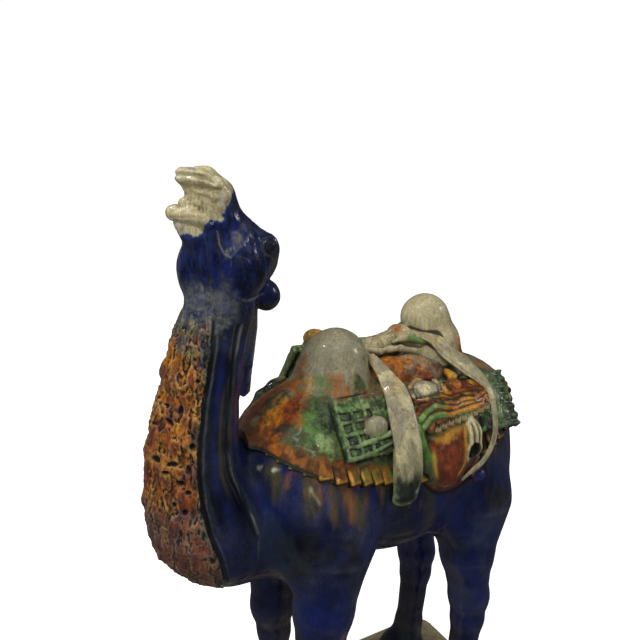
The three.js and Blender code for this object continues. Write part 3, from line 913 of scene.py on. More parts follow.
@dataclass(frozen=True)
class LeadGlaze:
    """The finish of the whole figure: runny lead glazes over pale clay, crazed, dark in hollows with pooling
    glaze and painted shade, and a little dusty.
    """

    cloud_scale: float = 60.0
    fleck_scale: float = 900.0
    craze_scale: float = 420.0
    streak_scale: float = 300.0
    roughness: float = 0.24
    coat: float = 0.4
    thread_colour: Colour = (0.012, 0.011, 0.012, 1.0)
    # the near-black of pooling glaze and painted shade in hollows
    pooled_and_shade_colour: Colour = (0.006, 0.006, 0.006, 1.0)
    worn_colour: Colour = (0.26, 0.25, 0.21, 1.0)
    crack_colour: Colour = (0.05, 0.043, 0.03, 1.0)
    dust_colour: Colour = (0.085, 0.092, 0.105, 1.0)

    def material(self) -> bpy.types.Material:
        """Builds the material, which reads the attributes glaze and surface.

        Returns:
            The material.
        """
        made = bpy.data.materials.new("lead_glaze")
        made.use_nodes = True
        made.node_tree.nodes.clear()
        bench = Bench(made.node_tree)
        place = bench.node("ShaderNodeTexCoord", {}, {})[3]
        tint = bench.node("ShaderNodeAttribute", {"attribute_name": "glaze"}, {})[0]
        masks = bench.node("ShaderNodeAttribute", {"attribute_name": "surface"}, {})[0]
        dust, craze, hollow = bench.node("ShaderNodeSeparateColor", {}, {"Color": masks})[:3]
        cloud = self._noise(bench, place, self.cloud_scale, 6.0, 0.62)
        fleck = self._noise(bench, place, self.fleck_scale, 3.0, 0.75)
        tall = bench.node("ShaderNodeMapping", {}, {"Vector": place, "Scale": (1.0, 1.0, 0.14)})[0]
        streak = self._noise(bench, tall, self.streak_scale, 3.0, 0.6)
        lines = bench.node(
            "ShaderNodeTexVoronoi", {"feature": "DISTANCE_TO_EDGE"},
            {"Vector": place, "Scale": self.craze_scale, "Randomness": 1.0},
        )[0]
        crack = (1.0 - lines.stepped(0.0, 0.07)) * craze
        depth = (hollow - 0.5) * 2.0
        # hollows turn near-black: pooling glaze and painted shade
        pooled_and_shaded = depth.stepped(0.02, 0.75)
        worn = (0.0 - depth).stepped(0.08, 0.8)
        specks = fleck.stepped(0.62, 0.8)
        lively = bench.mixed(1.0, tint, self._grey(bench, 1.0 * cloud + 0.9 * streak + 1.1 * fleck - 0.5),
            "MULTIPLY")
        thread = streak.stepped(0.475, 0.5) * (1.0 - streak.stepped(0.5, 0.525))
        threaded = bench.mixed(thread * 0.4, lively, self.thread_colour)
        deep = bench.mixed(pooled_and_shaded * 0.9, threaded, self.pooled_and_shade_colour)
        pale = bench.mixed(0.45, lively, self.worn_colour)
        edged = bench.mixed(worn * (0.25 + 1.1 * (fleck - 0.3)).clamped(), deep, pale)
        cracked = bench.mixed((crack * 0.45 + specks * craze * 0.3).clamped(), edged, self.crack_colour)
        dusted = (dust * (1.6 * (cloud - 0.3) + 2.2 * (fleck - 0.45))).clamped()
        colour = bench.mixed(dusted, cracked, self.dust_colour)
        height = 0.3 * cloud + 0.1 * fleck + 0.2 * streak - 0.5 * crack
        bump = bench.node("ShaderNodeBump", {}, {"Strength": 0.3, "Distance": 0.001, "Height": height})[0]
        shader = bench.node("ShaderNodeBsdfPrincipled", {}, {
            "Base Color": colour,
            "Roughness": (self.roughness + 0.5 * dusted + 0.4 * (cloud - 0.4)).clamped(),
            "Coat Weight": (self.coat - 0.8 * dusted).clamped(),
            "Coat Roughness": 0.06,
            "Coat IOR": 1.5,
            "IOR": 1.45,
            "Normal": bump,
        })[0]
        bench.node("ShaderNodeOutputMaterial", {}, {"Surface": shader})
        return made

    def _noise(self, bench: Bench, place: Shade, scale: float, detail: float, rough: float) -> Shade:
        """One noise of about 0 to 1 on the given coordinates."""
        sockets = {"Vector": place, "Scale": scale, "Detail": detail, "Roughness": rough}
        return bench.node("ShaderNodeTexNoise", {}, sockets)[0]

    def _grey(self, bench: Bench, value: Shade) -> Shade:
        """A value as a grey colour."""
        return bench.node("ShaderNodeCombineColor", {}, {"Red": value, "Green": value, "Blue": value})[0]


@dataclass(frozen=True)
class Kiln:
    """Turns a painted skin into a finished piece of the figure."""

    material: bpy.types.Material

    def fire(self, name: str, skin: Skin, coat: Coat) -> bpy.types.Object:
        """Makes the Blender object of a skin and binds it to the frame.

        Args:
            name: the piece's name.
            skin: its mesh, in modules.
            coat: its glaze.

        Returns:
            The finished piece.
        """
        mesh = bpy.data.meshes.new(name)
        points = to_metres(skin.points).astype(np.float32)
        quads = skin.quads.astype(np.int32)
        mesh.vertices.add(len(points))
        mesh.vertices.foreach_set("co", points.ravel())
        mesh.loops.add(quads.size)
        mesh.loops.foreach_set("vertex_index", quads.ravel())
        mesh.polygons.add(len(quads))
        mesh.polygons.foreach_set("loop_start", np.arange(len(quads), dtype=np.int32) * quads.shape[1])
        mesh.update(calc_edges=True)
        mesh.validate()
        piece = bpy.data.objects.new(name, mesh)
        bpy.context.scene.collection.objects.link(piece)
        return self.finish(piece, coat)

    def finish(self, piece: bpy.types.Object, coat: Coat) -> bpy.types.Object:
        """Writes the coat on a mesh object, gives it the glaze and binds it to the frame.

        Args:
            piece: an object with a plain mesh.
            coat: one entry for each of its points.

        Returns:
            The same object.
        """
        mesh = piece.data
        mesh.polygons.foreach_set("use_smooth", np.ones(len(mesh.polygons), bool))
        count = len(mesh.vertices)
        tint = np.concatenate([np.clip(coat.tint, 0, 1), np.ones((count, 1))], 1)
        hollow = np.clip(0.5 + coat.hollow / 2, 0, 1)
        masks = np.stack([np.clip(coat.dust, 0, 1), np.clip(coat.craze, 0, 1), hollow, np.ones(count)], 1)
        for title, values in (("glaze", tint), ("surface", masks)):
            layer = mesh.attributes.new(title, "FLOAT_COLOR", "POINT")
            layer.data.foreach_set("color", values.astype(np.float32).ravel())
        mesh.materials.clear()
        mesh.materials.append(self.material)
        mesh.update()
        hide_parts(NODE)
        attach(piece, "root")
        faces = sum(len(polygon.vertices) - 2 for polygon in mesh.polygons)
        LOG.info("%s: %d triangles", piece.name, faces)
        return piece


@dataclass
class Body:
    """The animal: its proportions, and the fields that its hide, blanket and neck are skins of."""

    neck_stations: Sequence[Station] = (
        (-20, 0, 46, 7.8), (-26.2, 0, 47, 7.7), (-29.3, 0, 50, 7.5), (-30.4, 0, 54.9, 6.7),
        (-30.6, 0, 60.5, 5.95),
        (-29.9, 0, 66, 5.4), (-28.5, 0, 72, 4.9), (-27.1, 0, 77, 4.55), (-26.0, 0, 81.5, 4.15),
        (-25.2, 0, 85, 3.7),
    )
    mane_line: Sequence[tuple[float, float]] = (
        (-28.0, 44), (-29.0, 48), (-30.2, 52), (-30.8, 56), (-30.9, 60.5), (-30.2, 66), (-28.9, 72),
        (-27.6, 77),
        (-26.9, 81.5), (-26.0, 85),
    )
    mane_rise: float = 0.6
    blanket_rise: float = 0.004 / MODULE
    hem_low: float = 54.7
    hem_front: float = 61.0
    hem_middle: float = 3.0
    blanket_front: float = -22.0
    blanket_rear: float = 22.4
    grain: Grain = field(default_factory=lambda: Grain(11))

    def __post_init__(self) -> None:
        """Builds the fields."""
        egg, chain, joined = Form.egg, Form.chain, Form.joined
        torso = joined(
            5,
            egg((-13.5, 0, 53.5), (10.5, 12.2, 13)),
            egg((1, 0, 52.2), (17.5, 13.2, 15.2)),
            egg((13.5, 0, 54), (10.3, 11.2, 12)),
            egg((17, 0, 59.6), (6.4, 7, 5.4)),
        )
        shoulders = egg((-13.5, -7, 48), (7.5, 5.5, 12)).on_both_sides()
        haunches = egg((14.3, -6.6, 47), (7.4, 5.4, 13)).on_both_sides()
        self.front_hump = joined(
            1.2,
            chain(((-8.8, 0, 63, 7.6), (-7.9, 0, 69, 5.4), (-7.35, 0, 71.9, 3.2)), 1.5),
            egg((-7.7, 0, 71.6), (4.7, 4.1, 3.2)),
        )
        self.rear_hump = joined(
            1.2,
            chain(((11, 0, 64, 6.2), (10.4, 0, 70, 4.6), (9.2, 0, 75.1, 3.2)), 1.5),
            egg((9.1, 0, 74.6), (3.9, 3.6, 3.4)),
        )
        front_legs = chain((
            (-13.2, -8.2, 44, 6.2), (-14.4, -8.3, 34, 4.5), (-15.2, -8.0, 24, 3.5), (-15.0, -8.0, 19, 2.7),
            (-15.0, -8.0, 8.5, 2.4), (-15.6, -8.0, 5.0, 2.7),
        ), 1.5).on_both_sides()
        hind_legs = chain((
            (15.0, -7.4, 44, 6.4), (14.4, -7.6, 34, 4.4), (15.6, -7.6, 24.5, 3.3), (15.6, -7.6, 20, 2.7),
            (14.4, -7.6, 8.5, 2.4), (13.8, -7.6, 5.0, 2.7),
        ), 1.5).on_both_sides()
        foot_size = (4.6, 3.9, 2.6)
        feet = joined(
            1,
            egg((-17, -8.0, 3.4), foot_size).on_both_sides(),
            egg((12.4, -7.6, 3.4), foot_size).on_both_sides(),
        )
        tail = chain(((22.5, 0, 60, 1.6), (24.6, 0.4, 55, 1.5), (24.3, 0.8, 49, 1.7), (23.4, 1.0, 45, 1.0)),
            1)
        self.barrel = joined(4, torso, shoulders, haunches)
        self.neck = chain(self.neck_stations, 1.5).raised(self.mane_bulge)
        limbs = (front_legs, hind_legs)
        bare = joined(2.2, joined(4, self.barrel, self.neck), *limbs, self.front_hump, self.rear_hump)
        self.figure = joined(1, joined(3, bare, feet), tail)
        clothed = joined(
            4, self.barrel.raised(lambda x, y, z: self.blanket_rise), self.neck.raised(lambda x, y, z: 0.35),
        )
        self.dressed = joined(1, joined(2.2, clothed, *limbs, self.front_hump, self.rear_hump), tail)

    def hem_height(self, x: Array) -> Array:
        """How high the blanket's lower edge hangs at each x."""
        held = np.clip(x, self.blanket_front, self.blanket_rear)
        fore = self.hem_middle - self.blanket_front
        aft = self.blanket_rear - self.hem_middle
        reach = np.where(held < self.hem_middle, fore, aft)
        return self.hem_low + (self.hem_front - self.hem_low) * ((held - self.hem_middle) / reach) ** 2

    def neck_centre(self, z: Array) -> Array:
        """The x of the neck's middle line at each height."""
        return np.interp(z, [s[1] for s in self.mane_line], [s[0] for s in self.mane_line])

    def mane_cover(self, x: Array, z: Array, edge: float = 0.5) -> Array:
        """Where the shaggy front of the neck is, from 0 to 1."""
        ahead = self.neck_centre(z) - x
        return ramp(1.6 - edge, 1.6 + edge, ahead) * ramp(40, 43, z) * ramp(83.0, 78.5, z)

    def mane_bulge(self, x: Array, y: Array, z: Array) -> Array:
        """How far the shaggy coat stands off the neck."""
        lumps = np.sin(1.15 * z + 0.9 * y) * np.cos(1.05 * y - 0.5 * z)
        return self.mane_cover(x, z, 0.3) * self.mane_rise * (1 + 0.35 * lumps)


@dataclass
class Hide:
    """The lower trunk, the legs and the tail, under cobalt glaze with amber runs."""

    body: Body
    cell: float = 0.35
    box: Box = ((-36, -18, 1.5), (28, 18, 64))

    def build(self, kiln: Kiln, resting: Sequence[Form]) -> bpy.types.Object:
        """Makes the finished piece.

        Args:
            kiln: finishes it.
            resting: forms that lie on it, round which shade is painted.

        Returns:
            The piece.
        """
        body = self.body

        def fence(x: Array, y: Array, z: Array) -> Array:
            """Past the blanket's edge, or up the neck."""
            neck = np.minimum(-22.5 + 0.3 * (z - 58) - x, z - 42.5)
            return np.maximum(neck, z - body.hem_height(x) - 1.0)

        skin = Skin.over(body.figure.kept(fence, 0.05), *self.box, self.cell)
        skin.press(0.05 * body.grain(*xyz(skin.points), 4.5, 3))
        brush = paint_hide(body, skin)
        # painted shade round the bags and hanks that lie on the hide
        brush.shade_contacts(resting)
        return kiln.fire("hide", skin, brush.coat)


def paint_hide(body: Body, skin: Skin) -> Brush:
    """Cobalt glaze with its dusty bloom, brighter pools and the amber that ran down from the hem.

    Args:
        body: for its hem and its noise.
        skin: the mesh to paint.

    Returns:
        The brush, with its coat.
    """
    brush = Brush(skin, Glaze.COBALT, body.grain)
    x, z = brush.x, brush.z
    brush.wash(Glaze.NIGHT, 0.3 + 0.9 * brush.noise(7, 1, 4, 1.6))
    brush.mottle(Glaze.SLATE, 6, 2, 0.4, 0.4, 1.6)
    below = body.hem_height(x) - z
    streaks = 0.75 + 0.6 * brush.noise(0.9, 3, 2, 6.0)
    hanging = ramp(-20.5, -18.5, x) * ramp(3, -2, x) + 0.5 * ramp(4, 8, x)
    reach = ramp(6.0, 0.5, below + 4.0 * brush.noise(1.1, 5, 3, 5.0)) * ramp(-2.5, 0, below) * hanging
    brush.wash(Glaze.OLIVE, 0.75 * reach)
    brush.fleck(Glaze.AMBER, 0.35 * reach, 0.1, 0.5, 0.8, 6, 3, 6.0)
    brush.fleck(Glaze.COBALT, 0.9 * reach, 0.1, 0.5, 1.2, 7, 2, 6.0)
    for run in HIDE_RUNS:
        cover = run.cover(x, brush.y, z, body.grain) * streaks * ramp(-2.5, 0, below)
        if run.glaze is Glaze.AMBER:
            brush.wash(Glaze.OLIVE, 1.5 * cover)
        brush.wash(run.glaze, cover)
    # pale lines, partly scratches, partly painted highlights
    brush.seams(HIDE_SCRATCHES_AND_GLINTS)
    brush.wash(Glaze.NIGHT, 0.7 * ramp(30, 10, z))
    brush.coat.dust = np.clip(0.12 + 0.5 * brush.noise(6, 4), 0, 1)
    brush.pool(6, 6)
    return brush


HIDE_RUNS = (
    Stroke(Glaze.OLIVE, ((-21.4, -6.6, 58.7, 1.3), (-21.6, -8.0, 55.0, 0.9)), 0.9, 0.8, 0.9, 4.0),
    Stroke(Glaze.AMBER, ((-20.3, -8.9, 59.5, 0.4), (-20.5, -8.8, 57.2, 0.3)), 0.5, 0.4, 0.6, 4.0),
    Stroke(Glaze.COBALT, ((-19.7, -9.5, 58.4, 0.7), (-20.0, -10.0, 54.0, 0.8)), 0.6, 0.4, 1.0, 4.0),
    Stroke(Glaze.OLIVE, ((-17.9, -11.3, 59.0, 0.9), (-17.5, -11.9, 54.0, 0.8)), 0.6, 0.6, 0.8, 4.0),
    Stroke(Glaze.AMBER, ((-17.2, -11.6, 59.0, 0.5), (-16.8, -12.1, 54.5, 0.3)), 0.5, 0.5, 0.6, 4.0),
    Stroke(Glaze.AZURE, ((-16.1, -12.1, 57.2, 0.5), (-16.0, -12.6, 53.5, 0.5)), 0.5, 0.4, 0.7, 4.0),
    Stroke(Glaze.OLIVE, ((-15.0, -13.0, 57.6, 0.9), (-14.6, -13.1, 51.5, 0.6)), 0.7, 0.6, 0.95, 5.0),
    Stroke(Glaze.AMBER, ((-12.9, -12.9, 56.8, 0.8), (-12.7, -13.3, 51.4, 0.4)), 0.6, 0.6, 0.75, 5.0),
    Stroke(Glaze.OLIVE, ((-11.4, -13.7, 56.4, 0.8), (-10.8, -13.1, 50.6, 0.7)), 0.7, 0.6, 0.9, 5.0),
    Stroke(Glaze.COBALT, ((-9.0, -13.0, 55.6, 0.8), (-8.6, -12.8, 47, 1.6)), 0.8, 0.5, 1.0, 4.0),
    Stroke(Glaze.OLIVE, ((1.2, -13.7, 53.2, 0.7), (1.6, -13.0, 50.0, 0.6), (2.4, -11.2, 44.5, 0.8)), 0.7,
        0.7, 0.8, 4.0),
    Stroke(Glaze.COBALT, ((3.9, -13.0, 51.5, 0.9), (3.6, -12.4, 48.0, 1.0)), 0.8, 0.5, 1.0, 3.0),
    Stroke(Glaze.OLIVE, ((17.5, -9.0, 58.8, 0.9), (18.0, -9.2, 50.0, 0.6)), 0.8, 0.7, 0.7, 5.0),
    Stroke(Glaze.AMBER, ((21.8, -4.0, 60.0, 0.8), (22.4, -4.4, 53.0, 0.4)), 0.7, 0.6, 0.6, 5.0),
    Stroke(Glaze.ASH, ((-22.7, -4.4, 58.3, 0.15), (-22.3, -4.8, 58.7, 0.1)), 0.2, 0.2, 0.9),
    Stroke(Glaze.CHALK, ((-21.5, -6.3, 58.5, 0.1), (-20.9, -7.6, 59.2, 0.25)), 0.2, 0.2, 0.8),
)


# Pale lines: scratches, partly painted highlights.
HIDE_SCRATCHES_AND_GLINTS = (
    Seam(((-18.4, -11.0, 54.6), (-18.1, -11.1, 57.1), (-17.9, -11.3, 56.4), (-17.2, -12.0, 55.0)), 0.22,
        0.0, Glaze.CREAM, 0.7),
)


@dataclass
class Neck:
    """The neck: smooth flutes at the sides and a coarse curly mane down its front."""

    body: Body
    head: "Head"
    cell: float = 0.178
    box: Box = ((-40, -13, 40), (-13, 13, 83))
    border: float = 1.65
    groove: Sequence[Station] = (
        (-25.3, -4.6, 80), (-26.4, -5.0, 75.5), (-26.9, -5.2, 71.4), (-27.8, -5.5, 65.9), (-28.0, -5.8, 60.1),
        (-27.0, -5.9, 56.8), (-25.9, -6.6, 53.6), (-25.2, -7.7, 50.1),
    )
    pits: Sequence[tuple[Station, float, float, float]] = (
        ((-35.6, -2.1, 69.8), 0.95, 0.5, 0.0),
        ((-35.1, -3.4, 67.8), 1.1, 0.55, -0.6),
        ((-34.0, -4.4, 69.7), 0.55, 0.9, 0.0),
        ((-31.6, -5.4, 73.5), 0.5, 0.45, 0.0),
        ((-31.0, -5.3, 71.4), 0.45, 0.4, 0.0),
        ((-37.1, -2.2, 62.4), 1.35, 0.65, 0.0),
        ((-35.6, -4.8, 62.4), 1.3, 0.5, 0.1),
        ((-33.7, -6.1, 61.8), 0.6, 0.95, 0.0),
        ((-34.9, -5.6, 59.8), 1.0, 0.5, 0.0),
        ((-36.0, -5.4, 56.7), 0.5, 0.5, 0.0),
        ((-34.6, -6.2, 55.7), 0.5, 0.65, 0.0),
        ((-33.0, -5.9, 64.8), 0.6, 0.6, 0.5),
        ((-34.0, -6.3, 58.6), 0.55, 0.4, 0.0),
        ((-38.1, -0.6, 57.0), 0.5, 0.6, 0.0),
        ((-36.4, -4.2, 61.1), 0.8, 0.4, 0.0),
        ((-36.9, 1.6, 65.5), 0.9, 0.5, 0.2),
        ((-36.0, 3.6, 60.4), 0.7, 0.9, 0.0),
        ((-35.4, 2.8, 70.4), 0.6, 0.8, 0.0),
        ((-33.9, 4.6, 66.4), 1.0, 0.5, -0.3),
        ((-34.6, 5.6, 56.2), 0.8, 0.5, 0.0),
    )

    def pit_depth(self, points: Array) -> Array:
        """How deep in one of the placed holes each point lies, 1 at its middle."""
        x, y, z = xyz(points)
        total = np.zeros(len(x))
        for (px, py, pz), across, tall, lean in self.pits:
            out = np.array([px - float(self.body.neck_centre(np.array(pz))), py])
            out /= np.linalg.norm(out)
            dx, dy, dz = x - px, y - py, z - pz
            along = -out[1] * dx + out[0] * dy
            deep = out[0] * dx + out[1] * dy
            c, s = math.cos(lean), math.sin(lean)
            along, dz = along * c + dz * s, dz * c - along * s
            wavy = 0.25 * self.body.grain(x, y, z, 0.9, 2)
            round_away = (along / (0.75 * across)) ** 2 + (dz / (0.75 * tall)) ** 2 + wavy
            total = np.maximum(total, np.exp(-(np.maximum(round_away, 0) + (deep / 1.6) ** 2) ** 2))
        return total

    def coat_lines(self, points: Array) -> tuple[Array, Array, Array]:
        """The mane's crust.

        Args:
            points: where to look, in modules.

        Returns:
            How raised the crust is, where its rims run, and how deep its holes are, each from 0 to 1.
        """
        x, y, z = xyz(points)
        grain = self.body.grain
        warp = 0.8 * grain(x, y, z * 0.6, 1.9, 3)
        wide = grain(x + warp, y + warp, z / 2.8, 1.15, 3)
        small = grain(x + 5 + warp, y - 3, z / 2.4 + 9, 0.65, 2)
        crust = ramp(-0.2, 0.2, wide)
        rims = np.maximum(ridge(wide, 0, 0.12), 0.6 * ridge(small, 0.1, 0.12))
        placed = self.pit_depth(points)
        rims = np.maximum(rims * (1 - placed), 0.9 * ridge(placed, 0.35, 0.2))
        return crust, rims, placed

    def build(self, kiln: Kiln) -> bpy.types.Object:
        """Makes the finished piece."""
        body, grain = self.body, self.body.grain

        def fence(x: Array, y: Array, z: Array) -> Array:
            """Past the shoulders, the chest or the head."""
            return np.maximum(np.maximum(x + 21 - 0.3 * (z - 58), 41 - z), z - 82.5)

        whole = Form.joined(1.0, body.figure, self.head.form)
        skin = Skin.over(whole.kept(fence, 0.05), *self.box, self.cell)
        x, y, z = xyz(skin.points)
        cover = body.mane_cover(x, z, 0.25)
        crust, rims, holes = self.coat_lines(skin.points)
        relief = cover * (0.2 * crust - 0.15 + 0.12 * rims + 0.09 * grain(x, y, z, 0.6, 2) - 0.4 * holes)
        relief += (1 - cover) * 0.03 * grain(x, y, z * 0.4, 1.4, 2)
        ahead = body.neck_centre(z) - x
        tall = ramp(42, 45, z) * ramp(82, 79, z)
        relief -= 0.25 * ridge(ahead, self.border, 0.24) * tall
        relief += 0.1 * ridge(ahead - self.border, -0.75, 0.3) * tall
        relief += ramp(49, 53, z) * sum(seam.rise * seam.shape(skin.points) for seam in self.seams())
        skin.press(relief)
        crust, rims, holes = crust * cover, rims * cover, holes * cover
        brush = paint_hide(body, skin)
        x, y, z = brush.x, brush.y, brush.z
        at = np.interp(z, [s[2] for s in reversed(self.groove)], [s[0] for s in reversed(self.groove)])
        share = (x - (body.neck_centre(z) - self.border)) / (at - body.neck_centre(z) + self.border)
        side = (1 - cover) * ramp(48, 54, z) * ramp(82, 79, z)
        # dark glaze over the column, which stands in part for shade beside the mane and next to the groove
        brush.wash(Glaze.NIGHT, side * 0.95 * ramp(1.5, 1.1, share))
        brush.wash(Glaze.COBALT, side * ridge(share, 0.55, 0.16) * (0.6 + 0.6 * brush.noise(3, 6)))
        # a pale grey line along the column, partly dusty thin glaze, partly painted highlight
        brush.wash(Glaze.SLATE, side * 0.65 * ridge(share - 0.2 + 0.04 * brush.noise(1, 19), 0, 0.06))
        brush.wash(Glaze.OLIVE, side * 0.6 * ridge(share, 0.74, 0.07) * ramp(73, 70, z) * ramp(55, 60, z))
        # a pale grey line beside the groove, partly dusty thin glaze, partly painted highlight
        brush.wash(Glaze.SLATE, side * 0.75 * ridge(share, 1.16, 0.07))
        brush.seams(self.seams())
        brush.wash(Glaze.RUST, cover)
        brush.fleck(Glaze.AMBER, cover * 0.9, -0.4, 0.3, 1.1, 7, 4, 2.6)
        brush.fleck(Glaze.UMBER, cover * 0.7 * (1 - crust), -0.3, 0.3, 0.8, 8, 3, 2.4)
        brush.vein(Glaze.UMBER, 0.75, 16, 0.12, 0.85 * cover, 2.6)
        brush.vein(Glaze.PEAT, 1.7, 17, 0.05, 0.9 * cover, 2.0)
        brush.fleck(Glaze.SLATE, 0.6 * cover, 0.45, 0.7, 1.5, 9, 3, 1.6)
        low = cover * ramp(58, 53.5, z + 2.5 * brush.noise(3, 10))
        brush.wash(Glaze.SLATE, 0.35 * low)
        brush.fleck(Glaze.RUST, 0.5 * low, 0, 0.4, 1.5, 11, 3, 2.0)
        top = ramp(1.4, 1.8, ahead) * ramp(75.5, 79, z - 0.9 * (ahead - 4) + 3.0
            * brush.noise(1.8, 12, 3, 1.6))
        brush.wash(Glaze.SLATE, 0.9 * top)
        brush.fleck(Glaze.MOSS, 0.7 * top, 0, 0.4, 1.2, 13)
        # painted shadow along the mane's edge, beside the border groove
        brush.wash(Glaze.PEAT, 0.85 * cover * ramp(2.9, 2.1, ahead + 0.8 * brush.noise(1.6, 14)))
        bloom_throat(brush)
        brush.wash(Glaze.GOLD, 0.9 * rims * ramp(-0.5, 0.1, brush.noise(3.5, 15)) * ramp(53, 57, z)
            * (1 - 0.5 * top))
        brush.wash(Glaze.TAN, 0.5 * rims * ramp(57, 53, z))
        # dark glaze and painted shade in the placed holes
        brush.wash(Glaze.NIGHT, 0.9 * holes)
        brush.coat.dust = np.where(cover > 0.5, 0.05 + 0.2 * ramp(57, 52, z), 0.6 * brush.coat.dust)
        brush.pool(3, 5 + 5 * float(cover.mean()))
        return kiln.fire("neck", skin, brush.coat)

    def seams(self) -> tuple[Seam, ...]:
        """The groove beside the nape, dark with glaze and painted shade, and the two thin ridges behind it,
        pale with dusty glaze and painted highlights.
        """
        groove = [tuple(place) for place in smooth_path(self.groove, 4)]
        behind = [(s[0] + 0.6, s[1] + 0.15, s[2]) for s in groove]
        beyond = [(s[0] + 1.9, s[1] + 0.7, s[2]) for s in groove[:-10]]
        return (
            Seam(groove, 0.22, -0.25, Glaze.NIGHT, 0.8),
            Seam(behind, 0.16, 0.12, Glaze.ASH, 0.45),
            Seam(beyond, 0.18, 0.1, Glaze.SLATE, 0.5),
        )


